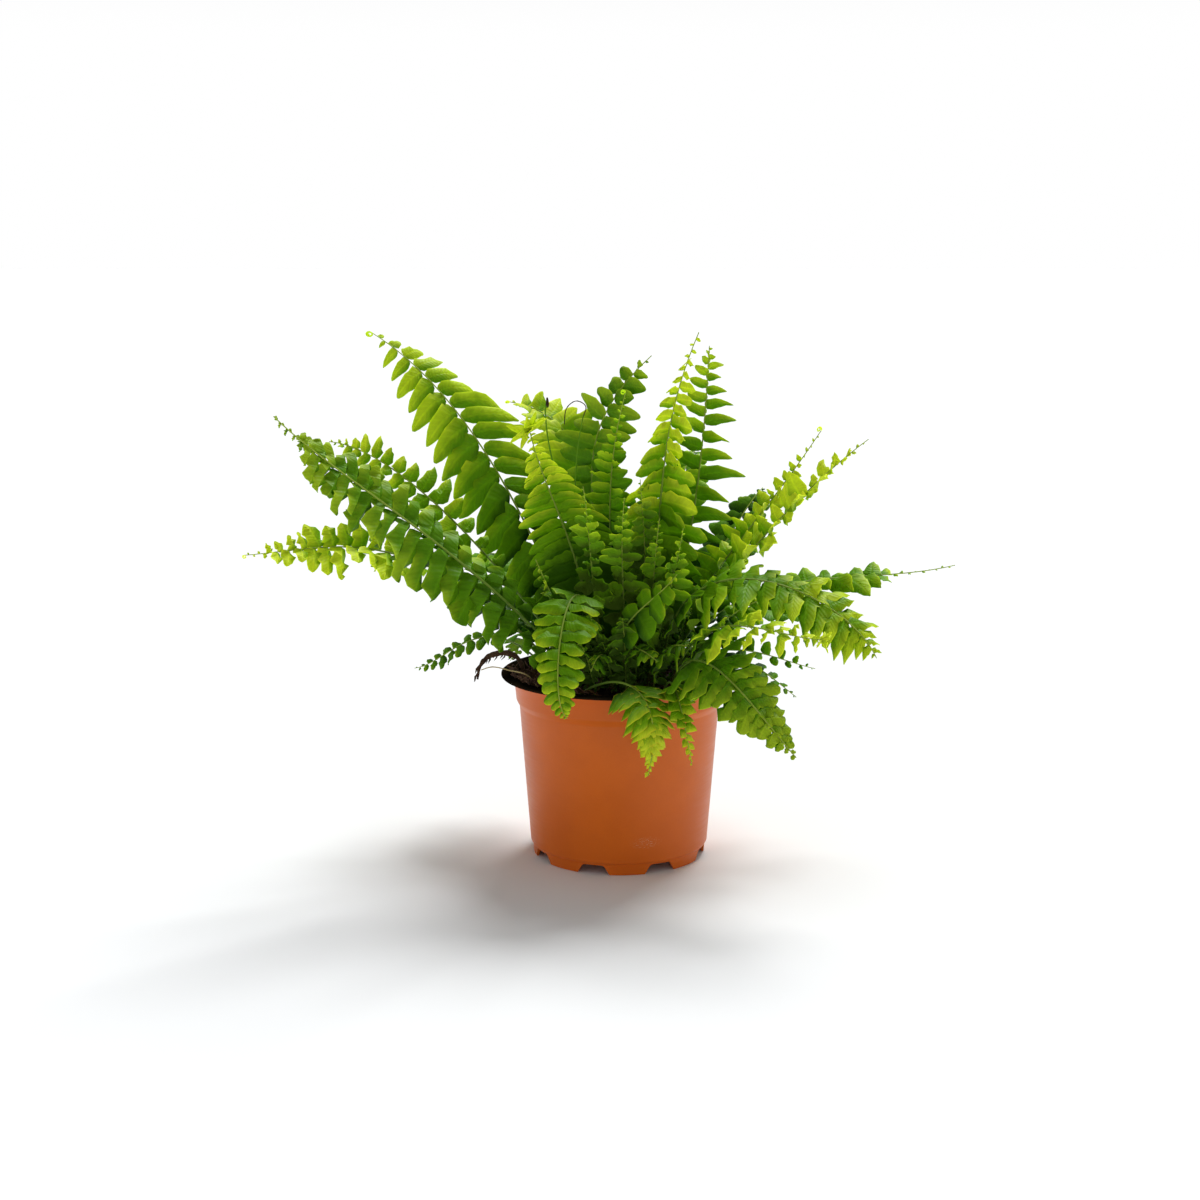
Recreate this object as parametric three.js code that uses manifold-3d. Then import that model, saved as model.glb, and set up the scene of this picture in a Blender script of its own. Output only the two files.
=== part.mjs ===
// A sword fern in a thin plastic nursery pot. Millimetres, +Z up.
// The origin is the middle of the pot's foot, on the surface that it stands on. -Y is the front.
import * as THREE from "three";
import { mergeVertices } from "three/addons/utils/BufferGeometryUtils.js";
import Module from "manifold-3d";

// ---- Driving dimensions ----

const POT = {
  height: 94,
  lipRadius: 60, // the outer edge of the flat lip
  lipEdge: 1.2, // how thick the lip is at its outer edge
  lipFlare: 2.4, // how far below the rim the lip leaves the band
  bandTopRadius: 53.5, // the wider band under the lip
  bandLowRadius: 52.4,
  bandLow: 79, // the middle of the step between band and body
  bandStep: 1.5, // half the height of that step
  bodyTopRadius: 50.8,
  bodyLowRadius: 45.4,
  footRadius: 44.4, // the notched ring that the pot stands on
  footDraft: 0.5, // how much slimmer that ring is where it stands, on either side
  footHeight: 5.6,
  wall: 1.2,
  footWall: 2.2,
  sides: 36,
};
// The notches in the foot ring. Angles are in degrees about +Z, from +X.
const NOTCH = { count: 8, firstAngle: -107.5, halfAngle: 11, slope: 3.4, height: 5 };
const DRAIN = { radius: 3.2, fromAxis: 33, sides: 6 };
const SOIL = { edge: 84, crest: 90, gap: 0.3, sides: 28 };

const ROOT_DEPTH = 9; // how far a stalk goes down into the soil
const HOLE_GAP = 0.35; // clear space around a stalk in its hole
const HOLE_ABOVE = 10; // how far the cut for a hole reaches up out of the soil

const MIDRIB = {
  halfWidth: 1, // at the soil, on a frond whose longest leaflet is fullLeaflet
  fullLeaflet: 25,
  slender: 0.55, // the share of that width on the slightest frond
  taper: 0.6, // the share of the width that is lost by the tip
  pitchTaper: 0.4, // leaflets stand this much closer at the tip than at the base
  lastStation: 0.985, // how far along the last leaflet ends
  tipLength: 2,
};

// A leaflet's corners are given by how far out from the midrib they are, as a share of its length,
// how far towards the frond's tip, as a share of its breadth, and how far up out of the blade, as a
// share of its length.
const LEAFLET = {
  halfThick: 0.45,
  point: [1, 0.1, -0.06],
  far: [0.7, 0.4, 0],
  near: [0.66, -0.38, 0.05],
  fourCornered: 18, // a frond with no longer leaflets than this has no near corner on them
  sweep: 6, // degrees that a leaflet leans towards the tip at the base
  sweepMore: 30, // and how much more at the tip
  slim: 0.6, // the most that the breadth can be, as a share of the length
  spread: { length: 0.1, sweep: 5, lift: 7, twist: 0.07 }, // how far they vary, either way
};

// The fronds. root is where the stalk leaves the soil; low, high and tip are points that the midrib
// passes through, a third, two thirds and all of the way along. leaflet is the longest leaflet, pairs
// the pairs of leaflets, bare the share of the midrib that is bare stalk, roll the turn of the blade
// about its midrib at the base and at the tip in degrees, lift how far the leaflets are raised out of
// the blade into a trough in degrees, sag the share of its length by which a leaflet's end hangs down,
// and blunt how full the blade stays towards its tip.
const FRONDS = [
  // left side
  { name: "frond_left_tall", age: "middle", root: [-12, 10], low: [-41, 38, 148], high: [-79, 65, 211],
    tip: [-133, 90, 261], leaflet: 31, pairs: 18, bare: 0.12, roll: [-28, -28], lift: 8, sag: 0.22, blunt: 2 },
  { name: "frond_left_broad", age: "old", root: [-17, -10], low: [-70, -46, 152], high: [-118, -82, 198],
    tip: [-151, -121, 234], leaflet: 28, pairs: 20, bare: 0.1, roll: [-72, -66], lift: 5, sag: 0.25, blunt: 0.9 },
  { name: "frond_left_yellow", age: "young", root: [-19, 3], low: [-68, 16, 151], high: [-113, 26, 192],
    tip: [-149, 30, 208], leaflet: 16, pairs: 12, bare: 0.26, roll: [-45, -50], lift: 15, sag: 0, blunt: 1.2 },
  { name: "frond_left_level", age: "young", root: [-26, -1], low: [-90, -10, 147], high: [-138, -32, 163],
    tip: [-178.1, -58, 163], leaflet: 14, pairs: 13, bare: 0.26, roll: [-30, -60], lift: 25, sag: 0.1, blunt: 1.1 },
  { name: "frond_left_low", age: "old", root: [-32, 8], low: [-64, 22, 107], high: [-88, 32, 98],
    tip: [-108, 38, 87], leaflet: 9, pairs: 7, bare: 0.3, roll: [-20, -50], lift: 10, sag: 0.2, blunt: 1.2 },
  // middle
  { name: "frond_middle_bright", age: "young", root: [-9, -5], low: [-21, -4, 148], high: [-34, -2, 184],
    tip: [-44, -20, 218], leaflet: 26, pairs: 15, bare: 0.08, roll: [-90, -80], lift: 10, sag: 0.15, blunt: 1.4 },
  { name: "frond_middle_back", age: "young", root: [-6, 14], low: [-14, 45, 160], high: [-26, 78, 204],
    tip: [-60, 100, 223], leaflet: 20, pairs: 11, bare: 0.3, roll: [0, -10], lift: 20, sag: 0, blunt: 1.8 },
  { name: "frond_crown_hook", age: "old", root: [-1, 16], low: [-11, 30, 158], high: [-12, 42, 207],
    tip: [17, 47, 251], leaflet: 24, pairs: 14, bare: 0.2, roll: [0, 0], lift: 10, sag: 0.1, blunt: 1 },
  { name: "frond_crown_slim", age: "fresh", root: [0, 8], low: [-4, 13, 149], high: [-4, 18, 192],
    tip: [3, 16, 234], leaflet: 13, pairs: 14, bare: 0.1, roll: [0, 0], lift: 20, sag: 0, blunt: 1 },
  { name: "frond_crown_yellow", age: "young", root: [10, -1], low: [19, 3, 158], high: [24, 4, 211],
    tip: [39, 0, 265], leaflet: 25, pairs: 17, bare: 0.15, roll: [70, 80], lift: 32, sag: 0, blunt: 0.9 },
  { name: "frond_crown_right", age: "middle", root: [16, 13], low: [35, 35, 147], high: [44, 44, 210],
    tip: [47, 48, 256], leaflet: 23, pairs: 15, bare: 0.1, roll: [15, 20], lift: 12, sag: 0.15, blunt: 1.9 },
  // right side
  { name: "frond_right_back", age: "old", root: [18, 19], low: [43, 50, 127], high: [64, 76, 158],
    tip: [80, 96, 176], leaflet: 22, pairs: 12, bare: 0.15, roll: [0, 0], lift: 5, sag: 0.1, blunt: 1.2 },
  { name: "frond_right_slim", age: "young", root: [17, 5], low: [44, 12, 135], high: [72, 17, 172],
    tip: [102, 15, 215], leaflet: 17, pairs: 15, bare: 0.14, roll: [20, 30], lift: 25, sag: 0, blunt: 0.6 },
  { name: "frond_right_rising", age: "young", root: [19, -5], low: [47, -12, 134], high: [81, -22, 178],
    tip: [120, -28, 215], leaflet: 18, pairs: 15, bare: 0.12, roll: [20, 30], lift: 25, sag: 0, blunt: 0.7 },
  { name: "frond_right_arching", age: "middle", root: [22, -12], low: [42, -40, 145], high: [87, -61, 145],
    tip: [119, -80, 118], leaflet: 22, pairs: 15, bare: 0.12, roll: [25, 30], lift: 4, sag: 0.2, blunt: 1 },
  { name: "frond_right_long", age: "middle", root: [26, 4], low: [66, 22, 128], high: [121, 38, 136],
    tip: [178, 46, 141], leaflet: 17, pairs: 15, bare: 0.18, roll: [20, 20], lift: 12, sag: 0.1, blunt: 0.6 },
  { name: "frond_right_curled", age: "young", root: [26, -16], low: [42, -56, 126], high: [66, -91, 134],
    tip: [89, -114, 134], leaflet: 16, pairs: 10, bare: 0.18, roll: [30, 40], lift: 20, sag: 0.35, blunt: 1.2 },
  { name: "frond_right_twisted", age: "fresh", root: [32, 0], low: [52, 2, 104], high: [77, 5, 101],
    tip: [101, 10, 93], leaflet: 8, pairs: 7, bare: 0.25, roll: [20, 60], lift: 20, sag: 0, blunt: 1.3 },
  { name: "frond_right_low", age: "old", root: [24, -26], low: [38, -58, 112], high: [58, -88, 101],
    tip: [79, -112, 79], leaflet: 26, pairs: 12, bare: 0.23, roll: [35, 30], lift: 4, sag: 0.1, blunt: 1 },
  { name: "frond_right_dark", age: "old", root: [31, -7], low: [52, -14, 104], high: [72, -20, 98],
    tip: [88, -24, 86], leaflet: 10, pairs: 7, bare: 0.2, roll: [20, 20], lift: 10, sag: 0.2, blunt: 1 },
  // front
  { name: "frond_front_left", age: "middle", root: [-8, -16], low: [-21, -42, 141], high: [-29, -76, 120],
    tip: [-25, -87, 91], leaflet: 20, pairs: 12, bare: 0.22, roll: [-8, -10], lift: 12, sag: 0.1, blunt: 1.3 },
  { name: "frond_front_hanging", age: "young", root: [-24, -34], low: [-2, -51, 100], high: [13, -69, 92],
    tip: [13, -72, 59], leaflet: 27, pairs: 8, bare: 0.44, roll: [0, 0], lift: 4, sag: 0.1, blunt: 1 },
  { name: "frond_front_thin", age: "young", root: [20, -38], low: [25, -56, 100], high: [30, -68, 85],
    tip: [34, -71, 64], leaflet: 9, pairs: 6, bare: 0.3, roll: [0, 0], lift: 20, sag: 0.1, blunt: 1 },
  { name: "frond_front_round", age: "middle", root: [-11, -24], low: [1, -38, 122], high: [13, -48, 138],
    tip: [27, -53, 153], leaflet: 14, pairs: 6, bare: 0.24, roll: [80, 60], lift: 5, sag: 0.25, blunt: 1.6 },
  { name: "frond_front_dark", age: "old", root: [6, -27], low: [5, -37, 111], high: [11, -45, 114],
    tip: [18, -51, 110], leaflet: 10, pairs: 5, bare: 0.2, roll: [20, 20], lift: 5, sag: 0.3, blunt: 1.4 },
  { name: "frond_front_small", age: "old", root: [-3, -25], low: [-6, -37, 107], high: [-10, -42, 111],
    tip: [-14, -46, 104], leaflet: 9, pairs: 4, bare: 0.25, roll: [0, 0], lift: 5, sag: 0.2, blunt: 1.4 },
  { name: "frond_inner_first", age: "fresh", root: [-5, -11], low: [-12, -17, 133], high: [-15, -24, 165],
    tip: [-18, -28, 192], leaflet: 12, pairs: 10, bare: 0.08, roll: [0, 0], lift: 20, sag: 0, blunt: 1.2 },
  { name: "frond_inner_second", age: "fresh", root: [3, -13], low: [2, -21, 134], high: [1, -27, 160],
    tip: [2, -32, 187], leaflet: 13, pairs: 10, bare: 0.08, roll: [0, 0], lift: 20, sag: 0, blunt: 1.2 },
  { name: "frond_inner_third", age: "fresh", root: [9, -13], low: [15, -20, 129], high: [17, -27, 153],
    tip: [19, -33, 177], leaflet: 11, pairs: 10, bare: 0.08, roll: [0, 0], lift: 20, sag: 0, blunt: 1.2 },
  { name: "frond_inner_fourth", age: "fresh", root: [13, -20], low: [20, -35, 125], high: [26, -41, 152],
    tip: [30, -46, 174], leaflet: 12, pairs: 9, bare: 0.2, roll: [10, 10], lift: 15, sag: 0.1, blunt: 1.2 },
  { name: "frond_inner_dark", age: "old", root: [16, -27], low: [21, -36, 110], high: [27, -41, 116],
    tip: [32, -46, 117], leaflet: 13, pairs: 6, bare: 0.3, roll: [20, 20], lift: 10, sag: 0.25, blunt: 1.4 },
  { name: "frond_inner_left", age: "old", root: [-14, -17], low: [-25, -27, 118], high: [-34, -31, 140],
    tip: [-41, -34, 157], leaflet: 10, pairs: 8, bare: 0.1, roll: [-30, -40], lift: 10, sag: 0.2, blunt: 1.2 },
  { name: "frond_inner_low", age: "old", root: [-3, -19], low: [-10, -27, 112], high: [-13, -33, 124],
    tip: [-15, -38, 132], leaflet: 8.5, pairs: 6, bare: 0.2, roll: [0, 0], lift: 5, sag: 0.25, blunt: 1.4 },
  { name: "frond_inner_right", age: "middle", root: [24, -2], low: [44, -1, 112], high: [62, 1, 126],
    tip: [78, 2, 132], leaflet: 12, pairs: 8, bare: 0.1, roll: [30, 30], lift: 5, sag: 0.3, blunt: 1.3 },
  { name: "frond_inner_middle", age: "old", root: [7, -6], low: [12, -8, 137], high: [12, -12, 167],
    tip: [10, -16, 194], leaflet: 11, pairs: 9, bare: 0.08, roll: [0, 0], lift: 15, sag: 0.1, blunt: 1.2 },
  // back
  { name: "frond_back_middle", age: "middle", root: [2, 29], low: [4, 62, 128], high: [7, 94, 150],
    tip: [10, 120.9, 144], leaflet: 24, pairs: 12, bare: 0.14, roll: [0, 0], lift: 4, sag: 0.15, blunt: 1.1 },
  { name: "frond_back_right", age: "old", root: [15, 28], low: [40, 60, 116], high: [62, 92, 128],
    tip: [80, 121, 116], leaflet: 22, pairs: 12, bare: 0.14, roll: [0, 0], lift: 4, sag: 0.15, blunt: 1.1 },
  { name: "frond_back_left", age: "middle", root: [-13, 27], low: [-38, 60, 122], high: [-62, 92, 138],
    tip: [-88, 121, 130], leaflet: 22, pairs: 12, bare: 0.14, roll: [0, 0], lift: 4, sag: 0.15, blunt: 1.1 },
  { name: "frond_side_right", age: "middle", root: [28, 16], low: [56, 38, 112], high: [88, 54, 116],
    tip: [116, 66, 102], leaflet: 17, pairs: 10, bare: 0.16, roll: [0, 0], lift: 4, sag: 0.15, blunt: 1.1 },
  { name: "frond_side_left", age: "middle", root: [-27, 16], low: [-54, 42, 116], high: [-78, 60, 130],
    tip: [-100, 78, 130], leaflet: 18, pairs: 9, bare: 0.25, roll: [0, 0], lift: 4, sag: 0.15, blunt: 1.1 },
  { name: "frond_back_tall", age: "fresh", root: [-3, 22], low: [-7, 52, 146], high: [-11, 82, 180],
    tip: [-12, 112, 194], leaflet: 22, pairs: 12, bare: 0.24, roll: [0, 0], lift: 6, sag: 0.15, blunt: 1.1 },
  { name: "frond_back_tall_right", age: "fresh", root: [9, 21], low: [22, 50, 146], high: [34, 80, 182],
    tip: [44, 108, 196], leaflet: 21, pairs: 12, bare: 0.22, roll: [0, 0], lift: 6, sag: 0.15, blunt: 1.1 },
  { name: "frond_back_low", age: "old", root: [7, 38], low: [19, 66, 108], high: [33, 88, 98],
    tip: [44, 104, 74], leaflet: 20, pairs: 9, bare: 0.25, roll: [0, 0], lift: 4, sag: 0.1, blunt: 1.1 },
  { name: "frond_back_low_left", age: "old", root: [-21, 32], low: [-34, 60, 108], high: [-48, 82, 99],
    tip: [-60, 98, 78], leaflet: 19, pairs: 9, bare: 0.18, roll: [0, 0], lift: 4, sag: 0.1, blunt: 1.1 },
];

// Thin stalks with no leaflets: points along the middle, and the radius at each.
const STALKS = [
  { name: "crozier", age: "old", points: [[-10, 21], [-22, 30, 150], [-35, 37, 200], [-38, 38, 222],
    [-37, 38, 226], [-37, 38, 230]], radii: [0.9, 0.8, 0.6, 0.6, 1.5, 0.7] },
  { name: "runner_middle", age: "dry", points: [[-15, 20], [-23, 24, 140], [-22, 27, 195], [-19, 28, 218],
    [-17, 28, 226], [-22, 28, 229], [-27, 28, 225], [-28, 28, 217]],
    radii: [0.8, 0.6, 0.5, 0.4, 0.4, 0.4, 0.4, 0.35] },
  { name: "dry_frond", age: "dry", points: [[-46, -4], [-50, -6, 100], [-56, -8, 105], [-65, -9, 104],
    [-70, -10, 99], [-71.5, -10, 92]], radii: [1.2, 1.3, 1.6, 1.5, 1.1, 0.5] },
  { name: "dry_straw", age: "straw", points: [[-36, -28], [-45, -26, 97], [-55, -25, 100], [-63, -22, 101],
    [-69, -20, 99]], radii: [0.6, 0.5, 0.45, 0.45, 0.35] },
];
const STALK_SIDES = 5;

// The dark scaly crowns that the fronds grow from: the middle and the three half axes.
const CROWNS = [
  { name: "crown_left", middle: [-39, -15, 89], half: [7, 9, 9] },
  { name: "crown_middle", middle: [0, -2, 90], half: [5, 4, 6] },
];

const LEAF_GREEN = { young: 0xa6c41c, fresh: 0x84b41e, middle: 0x5f9e1c, old: 0x3c7d20, dry: 0x2c1c14,
  straw: 0x9a8a50 };

// ---- Small helpers ----

const UP = new THREE.Vector3(0, 0, 1);
const degrees = THREE.MathUtils.degToRad;
const wasm = await Module();
wasm.setup();

function solidOf(geometry) {
  const bare = geometry.index ? geometry.toNonIndexed() : geometry.clone();
  for (const name of Object.keys(bare.attributes)) {
    if (name !== "position") bare.deleteAttribute(name);
  }
  const merged = mergeVertices(bare, 1e-3);
  return new wasm.Manifold(new wasm.Mesh({
    numProp: 3,
    vertProperties: merged.attributes.position.array,
    triVerts: new Uint32Array(merged.index.array),
  }));
}

function geometryOf(solid) {
  const { vertProperties, triVerts } = solid.getMesh();
  const geometry = new THREE.BufferGeometry();
  geometry.setAttribute("position", new THREE.BufferAttribute(vertProperties, 3));
  geometry.setIndex(new THREE.BufferAttribute(triVerts, 1));
  return geometry;
}

function addMesh(group, name, geometry, colour, roughness) {
  const material = new THREE.MeshStandardMaterial({ color: colour, roughness, metalness: 0 });
  const mesh = new THREE.Mesh(geometry, material);
  mesh.name = name;
  group.add(mesh);
}

// A lathe turned round Z, from points of radius and height.
function turned(profile, sides) {
  const points = profile.map(([radius, height]) => new THREE.Vector2(radius, height));
  return new THREE.LatheGeometry(points, sides).rotateX(Math.PI / 2);
}

// A number from -1 to 1 that looks random and is the same every time.
function vary(frond, leaflet, what) {
  const x = Math.sin(frond * 12.9898 + leaflet * 78.233 + what * 37.719) * 43758.5453;
  return 2 * (x - Math.floor(x)) - 1;
}

// ---- The pot ----

function notchWedge(angle) {
  const inner = POT.footRadius - 2 * POT.footWall;
  const outer = POT.footRadius + POT.footWall;
  const wide = outer * Math.sin(degrees(NOTCH.halfAngle));
  const shape = new THREE.Shape([
    new THREE.Vector2(-wide, -1),
    new THREE.Vector2(wide, -1),
    new THREE.Vector2(wide - NOTCH.slope, NOTCH.height),
    new THREE.Vector2(-wide + NOTCH.slope, NOTCH.height),
  ]);
  const wedge = new THREE.ExtrudeGeometry(shape, { depth: outer - inner, bevelEnabled: false });
  wedge.rotateX(Math.PI / 2).rotateZ(Math.PI).translate(0, inner, 0);
  return solidOf(wedge.rotateZ(degrees(angle) - Math.PI / 2));
}

function drainHole(angle) {
  const hole = new THREE.CylinderGeometry(DRAIN.radius, DRAIN.radius, 4 * POT.wall, DRAIN.sides);
  hole.rotateX(Math.PI / 2).translate(DRAIN.fromAxis, 0, POT.footHeight + POT.wall / 2);
  return solidOf(hole.rotateZ(degrees(angle)));
}

function potGeometry() {
  const p = POT;
  const floor = p.footHeight + p.wall;
  const ringInner = p.footRadius - p.footWall;
  let pot = solidOf(turned([
    [0, p.footHeight],
    [ringInner, p.footHeight],
    [ringInner + p.footDraft, 0],
    [p.footRadius - p.footDraft, 0],
    [p.footRadius, p.footHeight],
    [p.bodyLowRadius, p.footHeight + 1],
    [p.bodyTopRadius, p.bandLow - p.bandStep],
    [p.bandLowRadius, p.bandLow + p.bandStep],
    [p.bandTopRadius, p.height - p.lipFlare],
    [p.lipRadius, p.height - p.lipEdge],
    [p.lipRadius, p.height],
    [p.bandTopRadius - p.wall, p.height - p.lipEdge / 2],
    [p.bandLowRadius - p.wall, p.bandLow + p.bandStep],
    [p.bodyTopRadius - p.wall, p.bandLow - p.bandStep],
    [p.bodyLowRadius - p.wall, floor],
    [0, floor],
  ], p.sides));
  for (let i = 0; i < NOTCH.count; i++) {
    const angle = NOTCH.firstAngle + (i * 360) / NOTCH.count;
    pot = pot.subtract(notchWedge(angle)).subtract(drainHole(angle));
  }
  return geometryOf(pot);
}

// ---- Soil ----

function soilHeight(x, y) {
  const share = Math.min(1, Math.hypot(x, y) / (POT.bandLowRadius - POT.wall));
  return SOIL.crest - (SOIL.crest - SOIL.edge) * share * share;
}

function onSoil([x, y]) {
  return new THREE.Vector3(x, y, soilHeight(x, y));
}

function soilSolid() {
  const inner = (radius) => radius - POT.wall - SOIL.gap;
  const floor = POT.footHeight + POT.wall + SOIL.gap;
  const edge = inner(POT.bandLowRadius);
  return solidOf(turned([
    [0, floor],
    [inner(POT.bodyLowRadius), floor],
    [inner(POT.bodyTopRadius), POT.bandLow - POT.bandStep],
    [edge, POT.bandLow + POT.bandStep],
    [edge, soilHeight(edge, 0)],
    [0.75 * edge, soilHeight(0.75 * edge, 0)],
    [0.4 * edge, soilHeight(0.4 * edge, 0)],
    [0, SOIL.crest],
  ], SOIL.sides));
}

// A square hole for a stalk that leaves the soil at root, going along, with one side across.
function stalkHole(root, along, across, half) {
  const width = 2 * (half + HOLE_GAP);
  const hole = new THREE.BoxGeometry(width, width, ROOT_DEPTH + HOLE_ABOVE);
  hole.translate(0, 0, (HOLE_ABOVE - ROOT_DEPTH) / 2 - HOLE_GAP);
  const basis = new THREE.Matrix4().makeBasis(across, new THREE.Vector3().crossVectors(along, across), along);
  return solidOf(hole.applyMatrix4(basis.setPosition(root)));
}

// ---- Closed skins ----

// Collects the points and triangles of a closed thin blade. A pair is a point of the upper face and
// the one under it, which follows it in the list.
class Skin {
  constructor() {
    this.positions = [];
    this.triangles = [];
  }

  point(p) {
    this.positions.push(p.x, p.y, p.z);
    return this.positions.length / 3 - 1;
  }

  pair(p, face, half) {
    const upper = this.point(p.clone().addScaledVector(face, half));
    this.point(p.clone().addScaledVector(face, -half));
    return upper;
  }

  // A triangle of pairs, split alike on both faces.
  both(a, b, c) {
    this.triangles.push(a, b, c, a + 1, c + 1, b + 1);
  }

  // The edge from one pair to the next, with the blade on its left seen from above.
  wall(a, b) {
    this.triangles.push(a, a + 1, b + 1, a, b + 1, b);
  }

  geometry() {
    const geometry = new THREE.BufferGeometry();
    geometry.setAttribute("position", new THREE.Float32BufferAttribute(this.positions, 3));
    geometry.setIndex(this.triangles);
    return geometry;
  }
}

// ---- Fronds ----

// The midrib: the cubic through the four points at 0, 1/3, 2/3 and 1. Its first half of bare stalk is
// straight, and goes on straight into the soil.
function midrib(frond) {
  const root = onSoil(frond.root);
  const points = [root, ...[frond.low, frond.high, frond.tip].map((p) => new THREE.Vector3(...p))];
  const at = (t) => {
    const weights = [
      ((1 - 3 * t) * (2 - 3 * t) * (1 - t)) / 2,
      (9 * t * (2 - 3 * t) * (1 - t)) / 2,
      (9 * t * (3 * t - 1) * (1 - t)) / 2,
      (t * (3 * t - 1) * (3 * t - 2)) / 2,
    ];
    const point = new THREE.Vector3();
    points.forEach((p, i) => point.addScaledVector(p, weights[i]));
    return point;
  };
  const tip = points[3];
  const heading = new THREE.Vector3(tip.x - root.x, tip.y - root.y, 0).normalize();
  const level = new THREE.Vector3().crossVectors(UP, heading);
  const stalk = at(frond.bare / 2).sub(root).normalize();
  return { at, level, root, stalk };
}

// The blade's own directions at t: along the midrib, across it to the left, and out of its face.
function frameAt(rib, frond, t) {
  const step = 1e-3;
  const along = t < 0 ? rib.stalk.clone() : rib.at(t + step).sub(rib.at(t - step)).normalize();
  const roll = degrees(THREE.MathUtils.lerp(frond.roll[0], frond.roll[1], Math.max(0, t)));
  const across = rib.level.clone().addScaledVector(along, -rib.level.dot(along)).normalize();
  across.applyAxisAngle(along, roll);
  return { along, across, face: new THREE.Vector3().crossVectors(along, across) };
}

function halfWidth(frond, t) {
  const stout = THREE.MathUtils.lerp(MIDRIB.slender, 1, Math.min(1, frond.leaflet / MIDRIB.fullLeaflet));
  return MIDRIB.halfWidth * stout * (1 - MIDRIB.taper * Math.max(0, t));
}

// A leaflet's length as a share of the longest, at u from 0 at the lowest pair to 1 at the tip.
function leafletShare(frond, u) {
  const grow = Math.min(1, 0.5 + 1.8 * u);
  const fade = 1 - Math.pow(u, 1.6 * frond.blunt + 0.6);
  return Math.max(0.1, grow * fade);
}

function stationAt(frond, u) {
  const crowded = u * (1 + (MIDRIB.pitchTaper / 2) * (1 - u));
  return frond.bare + (1 - frond.bare) * MIDRIB.lastStation * crowded;
}

// One leaflet on the midrib's edge, from pair a to pair b, which is nearer the tip.
function addLeaflet(skin, frond, frame, leaflet, a, b) {
  const { u, side, middle, pitch, seed, number } = leaflet;
  const { spread } = LEAFLET;
  const length = frond.leaflet * leafletShare(frond, u) * (1 + spread.length * vary(seed, number, 1));
  const sweep = degrees(LEAFLET.sweep + LEAFLET.sweepMore * u * u + spread.sweep * vary(seed, number, 2));
  const lift = degrees(frond.lift + spread.lift * vary(seed, number, 3));
  const twist = spread.twist * vary(seed, number, 4);
  const breadth = Math.min(pitch, LEAFLET.slim * length);
  const outward = frame.across.clone().multiplyScalar(side * Math.cos(sweep))
    .addScaledVector(frame.along, Math.sin(sweep));
  const forward = frame.along.clone().multiplyScalar(Math.cos(sweep))
    .addScaledVector(frame.across, -side * Math.sin(sweep));
  const half = Math.min(LEAFLET.halfThick, 0.1 * length + 0.25);
  const corner = ([out, ahead, up], turn) => skin.pair(middle.clone()
    .addScaledVector(outward, out * length * Math.cos(lift))
    .addScaledVector(forward, ahead * breadth)
    .addScaledVector(frame.face, length * (out * Math.sin(lift) + up + turn))
    .addScaledVector(UP, -frond.sag * length * out * out), frame.face, half);
  const far = corner(LEAFLET.far, -twist);
  const outline = [a, corner(LEAFLET.point, 0), far, b];
  if (frond.leaflet > LEAFLET.fourCornered) outline.splice(1, 0, corner(LEAFLET.near, twist));
  if (side < 0) outline.reverse();
  const hub = outline.indexOf(far);
  const fan = outline.map((_, k) => outline[(hub + k) % outline.length]);
  for (let k = 1; k < fan.length - 1; k++) skin.both(fan[0], fan[k + 1], fan[k]);
  for (let k = 0; k < outline.length - 1; k++) skin.wall(outline[k + 1], outline[k]);
}

function frondGeometry(frond, seed) {
  const rib = midrib(frond);
  const skin = new Skin();
  const sides = [1, -1].map((side) => {
    const shift = side > 0 ? 0 : 0.5;
    const stations = [-1, frond.bare / 2];
    for (let i = 0; i <= frond.pairs - shift; i++) {
      stations.push(stationAt(frond, (i + shift) / frond.pairs));
    }
    return stations.map((t) => {
      const frame = frameAt(rib, frond, t);
      const middle = t < 0 ? rib.root.clone().addScaledVector(rib.stalk, -ROOT_DEPTH) : rib.at(t);
      const half = halfWidth(frond, t);
      const edge = middle.addScaledVector(frame.across, side * half);
      return { t, edge, pair: skin.pair(edge, frame.face, half) };
    });
  });
  // The two faces of the midrib, zigzag between its edges, always from the edge that is behind.
  const [left, right] = sides;
  let i = 0;
  let j = 0;
  while (i < left.length - 1 || j < right.length - 1) {
    const goLeft = j === right.length - 1 || (i < left.length - 1 && left[i + 1].t <= right[j + 1].t);
    const next = goLeft ? left[i + 1] : right[j + 1];
    skin.both(left[i].pair, right[j].pair, next.pair);
    if (goLeft) i++;
    else j++;
  }
  // The bare edges of the stalk, and a leaflet on each step above.
  sides.forEach((chain, k) => {
    const side = k === 0 ? 1 : -1;
    for (let n = 0; n < chain.length - 1; n++) {
      const [a, b] = [chain[n], chain[n + 1]];
      if (a.t < frond.bare - 1e-6) {
        if (side > 0) skin.wall(b.pair, a.pair);
        else skin.wall(a.pair, b.pair);
        continue;
      }
      const t = (a.t + b.t) / 2;
      const leaflet = {
        u: (t - frond.bare) / (1 - frond.bare),
        side,
        middle: a.edge.clone().lerp(b.edge, 0.5),
        pitch: a.edge.distanceTo(b.edge),
        seed,
        number: 2 * n + k,
      };
      addLeaflet(skin, frond, frameAt(rib, frond, t), leaflet, a.pair, b.pair);
    }
  });
  // The foot in the soil, and the last leaflet at the tip.
  skin.wall(left[0].pair, right[0].pair);
  const last = frameAt(rib, frond, 1);
  const end = skin.pair(rib.at(1).addScaledVector(last.along, MIDRIB.tipLength), last.face, 0.3);
  const [l, r] = [left.at(-1).pair, right.at(-1).pair];
  skin.both(l, r, end);
  skin.wall(end, l);
  skin.wall(r, end);
  return skin.geometry();
}

function frondHole(frond) {
  const rib = midrib(frond);
  const { along, across } = frameAt(rib, frond, -1);
  return stalkHole(rib.root, along, across, halfWidth(frond, 0));
}

// ---- Stalks with no leaflets ----

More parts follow.
